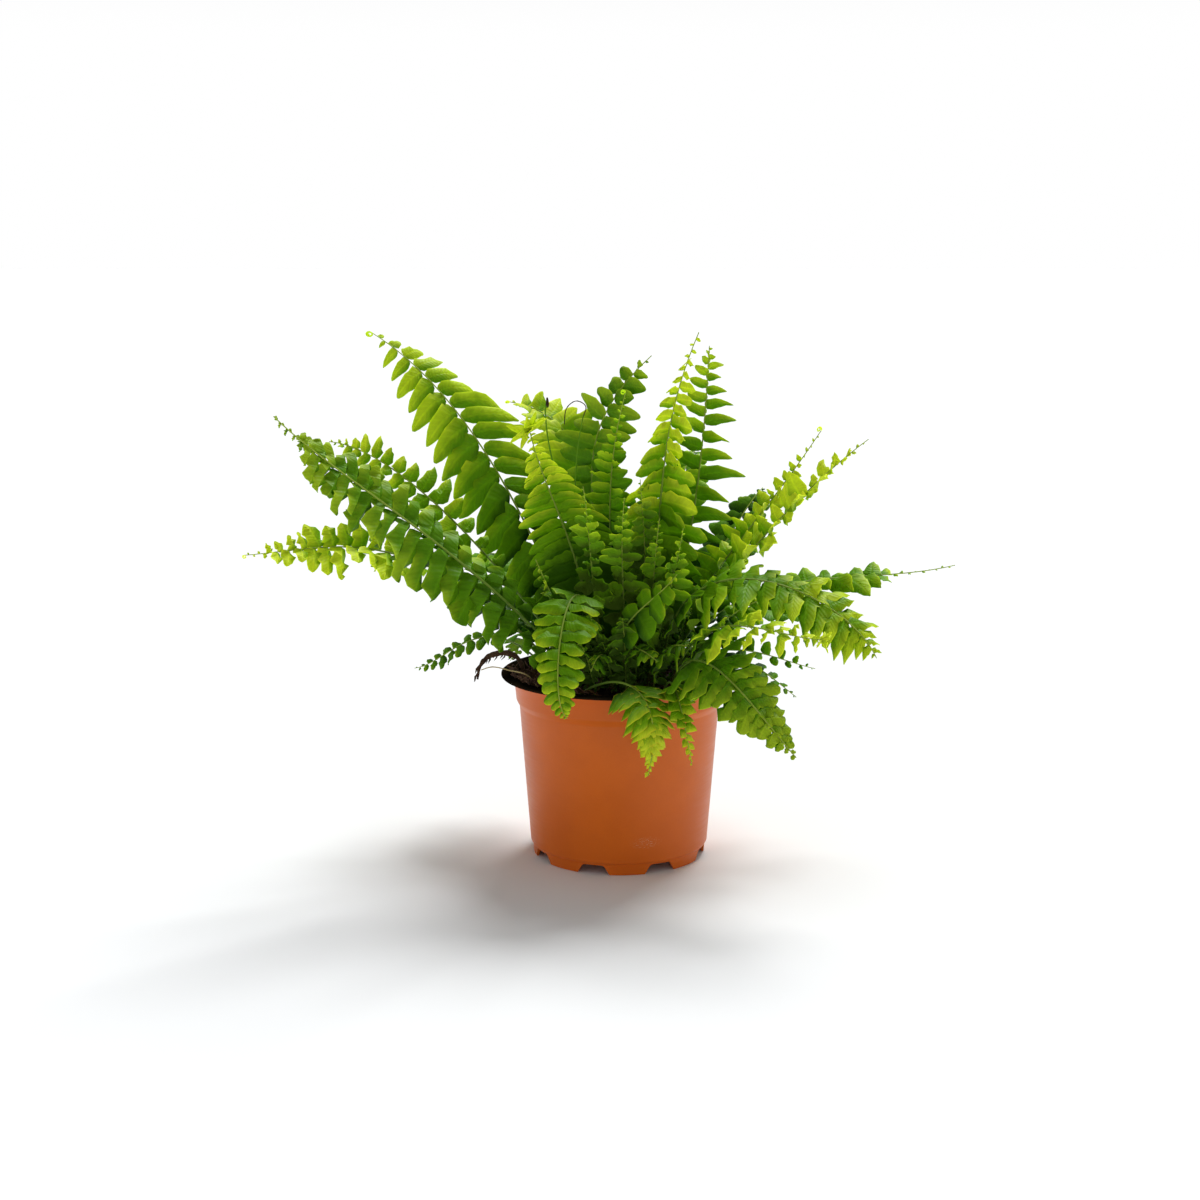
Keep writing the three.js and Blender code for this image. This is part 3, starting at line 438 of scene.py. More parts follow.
def stalk_material():
    """Green stalk: brown at the soil, pale green above, yellower at the tip, finely ribbed."""
    material, tree, shader = new_material("green_stalk", gloss=0.15)
    run = attribute(tree, "tone")
    low = blended(tree, faded(tree, run, 0.02, 0.14), (0.06, 0.045, 0.012, 1), (0.1, 0.2, 0.02, 1))
    high = blended(tree, faded(tree, run, 0.15, 0.9), low, (0.34, 0.46, 0.05, 1))
    cloud = placed_group(tree, UNEVEN, Cloud_Scale=200.0, Specks=0.8)
    colour = blended(tree, times(tree, cloud["Mask"], 0.3), high, (0.2, 0.27, 0.03, 1))
    rough = faded(tree, cloud["Height"], 0.3, 0.7, 0.38, 0.55)
    dress(tree, shader, colour, rough, cloud["Height"], 0.4, 0.0002)
    return material


def shoot_material():
    """The skin of the crozier and the runner: leaf green as they rise, dark brown at their ends."""
    material, tree, shader = new_material("shoot_skin", gloss=0.12, rough=0.7)
    cloud = placed_group(tree, UNEVEN, Base=(0.03, 0.018, 0.01, 1), Other=(0.06, 0.035, 0.018, 1),
                         Cloud_Scale=180.0, Specks=0.6)
    dead = faded(tree, attribute(tree, "tone"), 0.5, 0.6)
    colour = blended(tree, dead, (0.14, 0.32, 0.01, 1), cloud["Color"])
    dress(tree, shader, colour, None, cloud["Height"], 0.5, 0.0003)
    return material


def plain_material(name, base, other, cloud, speck, specks, rough, relief, depth, gloss=0.12):
    """A matt natural surface: two colours in clouds and specks, uneven roughness and relief."""
    material, tree, shader = new_material(name, gloss)
    marks = placed_group(tree, UNEVEN, Base=base, Other=other, Cloud_Scale=cloud, Speck_Scale=speck,
                         Specks=specks)
    rough = faded(tree, marks["Height"], 0.3, 0.7, rough - 0.08, rough + 0.08)
    dress(tree, shader, marks["Color"], rough, marks["Height"], relief, depth)
    return material


# Where the pot is scuffed: across, the height and how far it reaches, in metres.
SCUFFS = ((0.013, 0.017, 0.009), (0.039, 0.013, 0.005))


def pot_material():
    """Thin orange plastic, a little clouded, with faint flow lines and a few pale scuffs."""
    material, tree, shader = new_material("pot_orange", gloss=0.3)
    place = object_place(tree)
    marks = placed_group(tree, UNEVEN, Base=(0.67, 0.13, 0.003, 1), Other=(0.61, 0.114, 0.002, 1),
                         Cloud_Scale=22.0, Speck_Scale=1400.0, Specks=0.25)
    spot = add_node(tree, "SeparateXYZ", {0: place}).outputs
    lines = add_node(tree, "Mapping", {"Vector": place, "Scale": (60, 60, 900)})
    streak = noise_at(tree, lines.outputs[0], 1.0, 3.0, 0.6)
    slanted = add_node(tree, "Mapping", {"Vector": place, "Rotation": (0, 0.9, 0),
                                         "Scale": (700, 700, 3200)})
    scratch = noise_at(tree, slanted.outputs[0], 1.0, 3.0, 0.7)
    near = None
    for x, z, reach in SCUFFS:
        aside = maths(tree, "POWER", less(tree, spot[0], x), 2.0)
        above = maths(tree, "POWER", less(tree, spot[2], z), 2.0)
        close = faded(tree, plus(tree, aside, times(tree, above, 6.0)), 0.0, reach**2, 1.0, 0.0)
        near = close if near is None else most(tree, near, close)
    front = faded(tree, spot[1], -0.03, -0.035)
    scuff = times(tree, times(tree, near, front), faded(tree, scratch, 0.56, 0.62))
    worn = blended(tree, times(tree, scuff, 0.55), marks["Color"], (0.75, 0.5, 0.36, 1))
    rough = plus(tree, faded(tree, streak, 0.3, 0.7, 0.34, 0.42), times(tree, scuff, 0.2))
    height = plus(tree, streak, times(tree, marks["Height"], 0.4))
    dress(tree, shader, worn, rough, height, 0.12, 0.0003)
    return material


# The share of light that comes through, then the deep, middle and light green and the underside.
LEAF_COLOURS = (
    ("young", 0.3, (0.045, 0.14, 0.002), (0.19, 0.42, 0.003), (0.7, 0.78, 0.03),
     (0.44, 0.52, 0.05)),
    ("fresh", 0.3, (0.02, 0.085, 0.002), (0.15, 0.38, 0.003), (0.55, 0.72, 0.02),
     (0.33, 0.44, 0.04)),
    ("green", 0.27, (0.016, 0.075, 0.002), (0.15, 0.36, 0.003), (0.58, 0.72, 0.02),
     (0.3, 0.41, 0.04)),
    ("dark", 0.22, (0.012, 0.06, 0.002), (0.11, 0.29, 0.004), (0.42, 0.59, 0.02),
     (0.24, 0.36, 0.04)),
)
LEAF = {kind: leaf_material("leaf_" + kind, through, *((*colour, 1) for colour in colours))
        for kind, through, *colours in LEAF_COLOURS}
STALK = stalk_material()
SCALE = plain_material(
    "brown_scale", (0.1, 0.045, 0.015, 1), (0.05, 0.025, 0.01, 1), cloud=300.0, speck=2500.0,
    specks=0.5, rough=0.7, relief=0.5, depth=0.0002)
WITHERED = plain_material(
    "withered_brown", (0.035, 0.018, 0.01, 1), (0.1, 0.055, 0.03, 1), cloud=180.0, speck=2200.0,
    specks=0.8, rough=0.75, relief=0.8, depth=0.0004)
STRAW = plain_material(
    "straw", (0.5, 0.4, 0.18, 1), (0.34, 0.24, 0.1, 1), cloud=150.0, speck=2600.0, specks=0.6,
    rough=0.6, relief=0.5, depth=0.0003)
SHOOT = shoot_material()
ROOTSTOCK = plain_material(
    "rootstock_brown", (0.045, 0.022, 0.014, 1), (0.15, 0.08, 0.045, 1), cloud=120.0, speck=1500.0,
    specks=0.8, rough=0.85, relief=1.0, depth=0.001)
PEAT = plain_material(
    "peat", (0.016, 0.01, 0.006, 1), (0.05, 0.03, 0.018, 1), cloud=90.0, speck=1200.0, specks=0.9,
    rough=0.9, relief=1.0, depth=0.0012)
POT_ORANGE = pot_material()
POT_DARK = plain_material(
    "pot_inside", (0.006, 0.005, 0.003, 1), (0.016, 0.011, 0.006, 1), cloud=60.0, speck=1800.0,
    specks=0.5, rough=0.8, relief=0.2, depth=0.0002, gloss=0.0)

# ---- Helpers ----


def soil_height(x, y):
    share = min(1.0, hypot(x, y) / (POT.band_low - POT.wall))
    return SOIL.crest - (SOIL.crest - SOIL.edge) * share**2


def on_soil(point):
    return Vector((point[0], point[1], soil_height(*point[:2])))


def put_in_scene(name, data):
    """An object in the scene, made from a lamp's, a camera's or a mesh's data or from a bmesh."""
    if isinstance(data, bmesh.types.BMesh):
        mesh = bpy.data.meshes.new(name)
        data.to_mesh(mesh)
        data.free()
        data = mesh
    thing = bpy.data.objects.new(name, data)
    scene.collection.objects.link(thing)
    return thing


def finish_piece(name, bm, materials, slot, *nodes):
    """Turns a bmesh in millimetres into a piece that stands for the nodes."""
    bm.transform(Matrix.Scale(MM, 4))
    piece = put_in_scene(name, bm)
    for material in materials:
        piece.data.materials.append(material)
    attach(piece, "root")
    if nodes:
        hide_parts(*nodes)
    return piece


def sharpen(bm, degrees):
    """Smooth shading, with a hard edge wherever two faces meet at more than the angle."""
    limit = radians(degrees)
    for face in bm.faces:
        face.smooth = True
    for edge in bm.edges:
        edge.smooth = edge.calc_face_angle(0) < limit


def add_tube(bm, points, radii, sides, material=0):
    """A round closed tube along the points. Returns its rings of vertices."""
    across = (points[1] - points[0]).orthogonal().normalized()
    places = []
    for i, point in enumerate(points):
        along = (points[min(i + 1, len(points) - 1)] - points[max(i - 1, 0)]).normalized()
        across = (across - along * across.dot(along)).normalized()
        side = along.cross(across)
        turn = Matrix((across * radii[i], side * radii[i], along)).transposed().to_4x4()
        places.append(Matrix.Translation(point) @ turn)
    ring = bmesh.ops.create_circle(bm, segments=sides, radius=1.0, matrix=places[0])["verts"]
    edges = first = list({edge for vert in ring for edge in vert.link_edges})
    rings, skin = [ring], []
    for before, after in zip(places, places[1:]):
        made = bmesh.ops.extrude_edge_only(bm, edges=edges)["geom"]
        ring = [g for g in made if isinstance(g, bmesh.types.BMVert)]
        edges = [g for g in made if isinstance(g, bmesh.types.BMEdge)
                 and all(v in ring for v in g.verts)]
        skin += [g for g in made if isinstance(g, bmesh.types.BMFace)]
        bmesh.ops.transform(bm, matrix=after @ before.inverted(), verts=ring)
        rings.append(ring)
    skin += bmesh.ops.edgeloop_fill(bm, edges=first)["faces"]
    skin += bmesh.ops.edgeloop_fill(bm, edges=edges)["faces"]
    bmesh.ops.recalc_face_normals(bm, faces=skin)
    for face in skin:
        face.material_index = material
    return rings


def smooth_path(points, radii, steps):
    """A smooth line through the points, with the radius along it."""
    path, sizes = [], []
    last = len(points) - 1
    for i in range(last):
        a, b = points[max(i - 1, 0)], points[i]
        c, d = points[i + 1], points[min(i + 2, last)]
        for k in range(steps):
            t = k / steps
            path.append(0.5 * (2 * b + (c - a) * t + (2 * a - 5 * b + 4 * c - d) * t**2
                               + (3 * b - a - 3 * c + d) * t**3))
            sizes.append(radii[i] + (radii[i + 1] - radii[i]) * t)
    return path + [points[last]], sizes + [radii[last]]


# ---- Fronds ----


def midrib(frond):
    """The midrib's cubic, the level direction across it and the way its stalk leaves the soil."""
    root = on_soil(frond.root)
    points = [root] + [Vector(point) for point in (frond.low, frond.high, frond.tip)]

    def at(t):
        weights = ((1 - 3 * t) * (2 - 3 * t) * (1 - t) / 2, 9 * t * (2 - 3 * t) * (1 - t) / 2,
                   9 * t * (3 * t - 1) * (1 - t) / 2, t * (3 * t - 1) * (3 * t - 2) / 2)
        return sum((p * w for p, w in zip(points, weights)), Vector())

    heading = Vector((points[3].x - root.x, points[3].y - root.y, 0)).normalized()
    stalk = (at(frond.bare / 2) - root).normalized()
    return at, UP.cross(heading), stalk


def blade_at(rib, frond, t):
    """The point on the midrib, and the ways along and across the blade and out of its face."""
    at, level, stalk = rib
    along = stalk if t < 0 else (at(t + 1e-3) - at(t - 1e-3)).normalized()
    low, high = frond.roll
    across = (level - along * level.dot(along)).normalized()
    across.rotate(Matrix.Rotation(radians(low + (high - low) * max(0.0, t)), 3, along))
    return at(max(0.0, t)), along, across, along.cross(across)


def rib_radius(frond, t):
    stout = 0.55 + 0.45 * min(1.0, frond.leaflet / STEM.long)
    return STEM.radius * stout * (1 - STEM.taper * max(0.0, t))


def leaflet_share(frond, look, u):
    """The length of a leaflet at u along the blade, as a share of the longest."""
    shortest, tiny = 0.1, 0.24
    share = min(1.0, look.foot + 1.8 * u) * (1 - u ** (1.6 * frond.blunt + 0.6))
    return max(shortest, share * min(1.0, max(tiny, 1 - (u - look.thin) * 9)))


def station(frond, u):
    """Where along the midrib u lies: leaflets end just short of its tip and are closer there."""
    last, closer = 0.985, 0.2
    return frond.bare + (1 - frond.bare) * last * u * (1 + closer * (1 - u))


def leaf_width(s, round_from, fore):
    """Half the width of a leaflet at s along it, as a share of the most.

    The fore edge has an ear. Past round_from the end is an arc, more pointed the sooner that is.
    """
    base = min(1.0, 0.5 + s * 6) if fore else min(1.0, 0.32 + s * 3.4)
    ear = 0.14 * exp(-((s - 0.13) / 0.09) ** 2) if fore else 0.0
    past = max(0.0, (s - round_from) / (1 - round_from))
    pointed = 0.5 + 1.5 * max(0.0, 0.3 - round_from)
    narrowest = 0.06
    return max((base + ear) * max(0.0, 1 - past**2) ** pointed, narrowest)


def add_leaflet(bm, marks, look, rng, tone, hub, out, ahead, face, length, width, lift, sag):
    """One leaflet: a small grid that is drawn out to its outline, folded, waved and turned."""
    grid = bmesh.ops.create_grid(bm, x_segments=LEAFLET.along, y_segments=LEAFLET.across,
                                 size=0.5, calc_uvs=True)["verts"]
    turn = radians(look.tilt + rng.gauss(0, 7))
    twist = radians(rng.gauss(0, look.twist))
    phase, waves = rng.uniform(0, ABOUT_A_TURN), rng.uniform(1.4, 2.4)
    curl = look.curl + rng.gauss(0, 0.04)
    level = out * cos(lift) + face * sin(lift)
    for vert in grid:
        s = 0.5 - 0.5 * cos(pi * (vert.co.x + 0.5))
        v = 2 * vert.co.y
        edge = abs(v)
        half = 0.5 * width * leaf_width(s, look.full, v > 0)
        angle = turn + twist * s
        aside = ahead * cos(angle) + face * sin(angle)
        normal = face * cos(angle) - ahead * sin(angle)
        shift = 2.2 if v > 0 else 0  # the two edges don't wave together
        ripple = sin(ABOUT_A_TURN * waves * s + phase + shift) * edge**1.5
        bulge = half * (look.wave * ripple - look.cup * edge**2)
        half *= 1 + 0.06 * rng.uniform(-1, 1) * (edge > 0.9)
        vert.co = (hub + level * (length * s) + aside * (v * half) + normal * bulge
                   + ahead * (look.lean * length * s**2) - face * (curl * length * s**3)
                   - UP * (sag * length * s**2))
        # Painted shade and light: the tone is darker at the leaflet's foot by the midrib and along
        # its aft edge under the next leaflet, and lighter towards its end and along its fore edge.
        vert[marks["tone"]] = tone + 0.3 * (s - 0.55) + 0.2 * v
        vert[marks["gold"]] = look.gold
    faces = list({f for vert in grid for f in vert.link_faces})
    for f in faces:
        f.normal_update()
    if sum(f.normal.dot(face) for f in faces) < 0:
        bmesh.ops.reverse_faces(bm, faces=faces)


def shade(point):
    """How much darker the green is painted in the heart of the plant: painted shade."""
    return HEART_SHADE.depth * max(0.0, 1 - (point - HEART_SHADE.middle).length / HEART_SHADE.reach)


def make_fronds(name, fronds, *nodes):
    """One piece of the fronds: their leaflets, made thin solids, on their stalks."""
    bm = bmesh.new()
    bm.loops.layers.uv.new("leaf")
    marks = {key: bm.verts.layers.float.new(key) for key in ("tone", "gold", "under")}
    grown = []
    for frond in fronds:
        look = Sizes(**{**LOOK, "tone": SLOT_TONES[frond.slot], **frond.look})
        grown.append((frond, look, midrib(frond), random.Random(frond.name)))
        add_leaflets(bm, marks, *grown[-1])
    upper = len(bm.verts)
    bm.normal_update()
    bmesh.ops.solidify(bm, geom=bm.faces[:], thickness=LEAFLET.thickness)
    bm.verts.ensure_lookup_table()
    for vert in bm.verts[upper:]:
        vert[marks["under"]] = 1.0
    sharpen(bm, 60)
    for one in grown:
        add_stalk(bm, marks, *one)
    slot = fronds[0].slot
    return finish_piece(name + "_leaves", bm, [LEAF[slot], STALK, SCALE], "frond_" + slot, *nodes)


def add_leaflets(bm, marks, frond, look, rib, rng):
    pairs = round(frond.pairs * look.dense)
    dark, light = look.tone
    for i in range(2 * pairs):
        side = 1 if i % 2 == 0 else -1
        u = (i + 0.5) / (2 * pairs)
        t = station(frond, u)
        hub, along, across, face = blade_at(rib, frond, t)
        after, before = (rib[0](station(frond, u + half / pairs)) for half in (0.5, -0.5))
        pitch = (after - before).length
        length = look.grow[i % 2] * frond.leaflet * leaflet_share(frond, look, u)
        length *= 1 + look.uneven * rng.uniform(-1.2, 0.8)
        width = min(pitch * look.wide[i % 2], look.slim * length)
        sweep = radians(look.sweep[i % 2] + 30 * u * u + 4 * rng.uniform(-1, 1))
        out = across * (side * cos(sweep)) + along * sin(sweep)
        ahead = along * cos(sweep) - across * (side * sin(sweep))
        lift = radians(frond.lift + look.fold[i % 2] + look.loose * rng.uniform(-1, 1))
        # Painted shade: besides running from base to tip and differing at random, the tone is made
        # darker in the heart of the plant.
        tone = dark + (light - dark) * u + look.vary * rng.uniform(-1, 1) - shade(hub)
        sag = frond.sag + look.hang[i % 2] + 0.06 * rng.uniform(-1, 1)
        add_leaflet(bm, marks, look, rng, tone, hub + out * 0.3, out, ahead, face, length, width,
                    lift, sag)
    hub, along, across, face = blade_at(rib, frond, 1)
    pointed = Sizes(**{**vars(look), "full": 0.1, "cup": 0.6})
    for i in range(look.star):
        angle = radians(TUFT.spread * (i + 0.5) / look.star - TUFT.spread / 2
                        + rng.uniform(-TUFT.uneven, TUFT.uneven))
        out = (along * cos(angle) + across * sin(angle)).normalized()
        ahead = (across * cos(angle) - along * sin(angle)).normalized()
        size = rng.uniform(*TUFT.size) * frond.leaflet
        add_leaflet(bm, marks, pointed, rng, light, hub, out, ahead, face, size, TUFT.slim * size,
                    radians(rng.uniform(*TUFT.rise)), 0)


def add_stalk(bm, marks, frond, look, rib, rng):
    """The stalk and midrib, the rolled tip and the brown scales at the foot."""
    at, _, stalk = rib
    steps = STEM.steps
    ts = [k / steps for k in range(steps + 1)]
    points = [at(0) - stalk * ROOT_DEPTH] + [at(t) for t in ts]
    radii = [rib_radius(frond, 0)] + [rib_radius(frond, t) for t in ts]
    if look.coil:
        hub, along, across, face = blade_at(rib, frond, 1)
        radius = look.coil
        centre = hub + across * radius
        last = COIL.steps
        for k in range(1, last + 1):
            turn = k / last * COIL.turns * 2 * pi
            shrink = radius * (1 - COIL.tightening * k / last)
            points.append(centre - across * (shrink * cos(turn))
                          + along * (shrink * sin(turn)) + face * (COIL.advance * k))
            radii.append(radius * (0.3 - 0.1 * k / last))
    rings = add_tube(bm, points, radii, STEM.sides, 1)
    for i, ring in enumerate(rings):
        for vert in ring:
            vert[marks["tone"]] = min(1.0, max(0, i - 1) / steps)
            for f in vert.link_faces:
                f.smooth = True
                if i > steps + 1:  # the rolled tip, which is young leaf
                    f.material_index = 0
    for _ in range(STEM.scales):
        t = 0.02 + 0.12 * rng.random() ** 1.5 * 60 / max(60, (points[-1] - points[0]).length)
        hub, along, across, face = blade_at(rib, frond, t)
        angle = rng.uniform(0, ABOUT_A_TURN)
        out = across * cos(angle) + face * sin(angle)
        size = rng.uniform(1.6, 3.2)
        way = (out + along * rng.uniform(0.3, 1.2)).normalized()
        foot = hub + out * 0.5
        add_tube(bm, [foot, foot + way * size * 0.5, foot + way * size + along * 0.3],
                 [0.22, 0.16, 0.03], 3, 2)


def young_growth():
    """Short young fronds that come up between the stalks, from the heart towards the front rim."""
    rng = random.Random("young growth")
    fronds = []
    x, y = YOUNG.centre
    for i in range(YOUNG.count):
        angle = radians(YOUNG.first + YOUNG.spread * i / (YOUNG.count - 1))
        reach = rng.uniform(*YOUNG.reach)
        root = Vector((x + reach * cos(angle), y + reach * sin(angle), 0))
        lean = Vector((0.8 * cos(angle), 0.8 * sin(angle), 0)) * rng.uniform(*YOUNG.lean)
        rise = rng.uniform(*YOUNG.rise)
        ground = Vector((root.x, root.y, YOUNG.ground))
        low, high, tip = (ground + lean * k + UP * rise * h
                          for k, h in ((0.25, 0.42), (0.6, 0.8), (1, 1)))
        fronds.append(Sizes(name=f"young_{i}", slot="dark", root=root, low=low, high=high,
                           tip=tip, leaflet=rng.uniform(*YOUNG.leaflet), pairs=8, bare=0.05,
                           roll=(-20, 20), lift=12, sag=0.2, blunt=1.3,
                           look={**INNER, "tone": (0.15, 0.6)}))
    return fronds


# ---- Pot, soil and stalks ----


def spun(bm, profile, steps):
    """A closed solid turned round Z from (radius, height) points that start and end on the axis."""
    verts = [bm.verts.new((radius, 0, height)) for radius, height in profile]
    edges = [bm.edges.new(pair) for pair in zip(verts, verts[1:])]
    bmesh.ops.spin(bm, geom=verts + edges, cent=(0, 0, 0), axis=(0, 0, 1), angle=2 * pi,
                   steps=steps, use_merge=True)
    bmesh.ops.remove_doubles(bm, verts=bm.verts[:], dist=1e-4)
    bmesh.ops.recalc_face_normals(bm, faces=bm.faces[:])


def round_off(bm, edges, size):
    bmesh.ops.bevel(bm, geom=edges, offset=size, segments=3, profile=0.5, affect="EDGES",
                    material=-1)


def cut_away(bm, cutter):
    """bm less the cutter, by Blender's own Boolean, as a new bmesh."""
    made = [put_in_scene("cut", part) for part in (bm, cutter)]
    boolean = made[0].modifiers.new("cut", "BOOLEAN")
    boolean.object, boolean.operation, boolean.solver = made[1], "DIFFERENCE", "EXACT"
    result = bmesh.new()
    result.from_object(made[0], bpy.context.evaluated_depsgraph_get())
    for thing in made:
        mesh = thing.data
        bpy.data.objects.remove(thing)
        bpy.data.meshes.remove(mesh)
    return result


def outer_radius(height):
    """The radius of the pot's outside at a height, for the body and the band above it."""
    p = POT
    if height > p.band_z:
        share = (height - p.band_z) / (p.height - p.band_z)
        return p.band_low + (p.band_top - p.band_low) * share
    return p.body_low + (p.body_top - p.body_low) * (height - p.foot_height) / (
        p.band_z - p.foot_height)


def make_pot():
    """The pot: its outline turned round the axis, less the foot's notches and the drain holes."""
    p = POT
    floor = p.foot_height + p.wall
    ring_inner = p.foot_radius - p.foot_wall
    bm = bmesh.new()
    spun(bm, [
        (0, p.foot_height), (ring_inner, p.foot_height), (ring_inner + p.foot_draft, 0),
        (p.foot_radius - p.foot_draft, 0), (p.foot_radius, p.foot_height),
        (p.body_low, p.foot_height + 1), (p.body_top, p.band_z - p.band_step),
        (p.band_low, p.band_z + p.band_step), (p.band_top, p.height - p.lip_flare),
        (p.lip_radius, p.height - p.lip_edge), (p.lip_radius, p.height),
        (p.band_top - p.wall, p.height - p.lip_edge / 2),
        (p.band_low - p.wall, p.band_z + p.band_step),
        (p.body_top - p.wall, p.band_z - p.band_step),
        (p.body_low - p.wall, floor), (0, floor)], p.steps)
    bends = [e for e in bm.edges if abs(e.verts[0].co.z - e.verts[1].co.z) < 1e-4
             and e.calc_face_angle(0) > radians(14)]
    round_off(bm, bends, p.rounding)
    cutter = bmesh.new()
    reach = 2 * p.foot_wall
    wide = 2 * (p.foot_radius + p.foot_wall) * sin(radians(NOTCH.half_angle))
    for i in range(NOTCH.count):
        turn = Matrix.Rotation(radians(NOTCH.first + i * 360 / NOTCH.count), 4, "Z")
        wedge = bmesh.ops.create_cube(cutter, size=1.0)["verts"]
        for vert in wedge:
            low = vert.co.z < 0
            vert.co = Vector((p.foot_radius + vert.co.x * reach * 2,
                              vert.co.y * (wide if low else wide - 2 * NOTCH.slope),
                              -1 if low else NOTCH.height))
        rim = [e for e in cutter.edges if all(v in wedge and v.co.z > 0 for v in e.verts)
               and abs(e.verts[0].co.x - e.verts[1].co.x) > 1]
        bmesh.ops.transform(cutter, matrix=turn, verts=wedge)
        round_off(cutter, rim, NOTCH.rounding)
        where = turn @ Matrix.Translation((DRAIN.from_axis, 0, p.foot_height + p.wall / 2))
        bmesh.ops.create_cone(cutter, cap_ends=True, segments=20, radius1=DRAIN.radius,
                              radius2=DRAIN.radius, depth=4 * p.wall, matrix=where)
    bmesh.ops.recalc_face_normals(cutter, faces=cutter.faces[:])
    bm = cut_away(bm, cutter)
    sharpen(bm, 32)
    for face in bm.faces:
        centre = face.calc_center_median()
        radius = hypot(centre.x, centre.y)
        inside = centre.z > floor - 0.3 and radius < outer_radius(centre.z) - 0.6
        lip = centre.z > p.height - p.lip_edge - 0.1 and radius > p.lip_radius - 1.0
        face.material_index = 1 if inside or lip or centre.z > p.height - 0.7 else 0
    return finish_piece("pot_moulded", bm, [POT_ORANGE, POT_DARK], "pot_plastic", "pot")


def make_soil():
    """The filled pot's peat, with an uneven top, crumbs and fibres on it."""
    rng = random.Random("soil")
    inner = POT.wall + SOIL.gap
    edge = POT.band_low - inner
    floor = POT.foot_height + inner
    top = [(edge * k / 16, soil_height(edge * k / 16, 0)) for k in range(16, -1, -1)]
    bm = bmesh.new()
    step = POT.band_step
    spun(bm, [(0, floor), (POT.body_low - inner, floor),
              (POT.body_top - inner, POT.band_z - step), (edge, POT.band_z + step)] + top,
         SOIL.steps)
    for vert in bm.verts:
        if vert.co.z > SOIL.edge - 1:
            radius = hypot(vert.co.x, vert.co.y)
            calm = min(1.0, (edge - radius) / 4)
            rough = noise.fractal(vert.co * 0.35, 1.0, 2.0, 4) * SOIL.relief
            vert.co.z += calm * rough
    for _ in range(SOIL.crumbs):
        radius, angle = edge * sqrt(rng.random()) * 0.97, rng.uniform(0, TURN)
        x, y = radius * cos(angle), radius * sin(angle)
        size = rng.uniform(0.5, 1.7)
        spot = Matrix.Translation((x, y, soil_height(x, y) + 0.35 * size)) @ Matrix.Diagonal(
            (size, size * rng.uniform(0.6, 1), size * rng.uniform(0.5, 0.9), 1))
        lump = bmesh.ops.create_icosphere(bm, subdivisions=1, radius=1.0, matrix=spot)["verts"]
        for vert in lump:
            vert.co += Vector([rng.uniform(-0.2, 0.2) * size for _ in range(3)])
    for _ in range(SOIL.fibres):
        radius, angle = edge * sqrt(rng.random()) * 0.93, rng.uniform(0, TURN)
        point = Vector((radius * cos(angle), radius * sin(angle), 0))
        way = rng.uniform(0, TURN)
        line = []
        for k in range(5):
            point = point + Vector((cos(way), sin(way), 0)) * rng.uniform(0.8, 2.0)
            way += rng.uniform(-0.7, 0.7)
            if point.xy.length > edge - 1:
                break
            height = soil_height(point.x, point.y) + rng.uniform(0.2, 1.6)
            line.append(Vector((point.x, point.y, height)))
        if len(line) > 2:
            add_tube(bm, line, [rng.uniform(0.1, 0.25)] * len(line), 3, rng.choice((0, 1)))
    sharpen(bm, 50)
    return finish_piece("soil_peat", bm, [PEAT, ROOTSTOCK], "soil", "soil")


def bare_stalk(name):
    """The line and the radii of a stalk with no leaflets, from its foot in the soil."""
    points, radii = STALKS[name]
    root = on_soil(points[0])
    rest = [Vector(p) for p in points[1:]]
    foot = root - (rest[0] - root).normalized() * ROOT_DEPTH
    line, sizes = smooth_path([root] + rest, list(radii), 7)
    return [foot] + line, [radii[0]] + sizes


def make_bare_stalks():
    """The crozier, the runner and the dry stalks. The withered one has shrivelled leaflets."""
    rng = random.Random("stalks")
    looks = {"crozier": (SHOOT, "frond_dark"), "runner_middle": (SHOOT, "dry_brown"),
             "dry_frond": (WITHERED, "dry_brown"), "dry_straw": (STRAW, "straw")}
    for name, (material, slot) in looks.items():
        bm = bmesh.new()
        tone = bm.verts.layers.float.new("tone")
        line, sizes = bare_stalk(name)
        thinner = (0.75, 1.1) if name == "dry_frond" else (0.6, 0.7)
        sizes = [size * rng.uniform(*thinner) for size in sizes]
        browner = 1.2 if name == "runner_middle" else 0.75
        rings = add_tube(bm, line, sizes, 8)
        for i, ring in enumerate(rings):
            for vert in ring:
                vert[tone] = browner * i / len(rings)
        if name == "dry_frond":
            for _ in range(16):
                k = rng.randrange(10, len(line) - 3)
                along = (line[k + 1] - line[k]).normalized()
                out = (along.orthogonal() + UP * rng.uniform(-1.5, 0.3)).normalized()
                size = rng.uniform(2.0, 4.5)
                add_tube(bm, [line[k], line[k] + out * size * 0.5 + along * size * 0.2,
                              line[k] + out * size * 0.6 + along * size * 0.6 - UP * size * 0.3],
                         [0.7, 0.5, 0.08], 4)
        sharpen(bm, 50)
        finish_piece(name + "_stalk", bm, [material], slot, name)


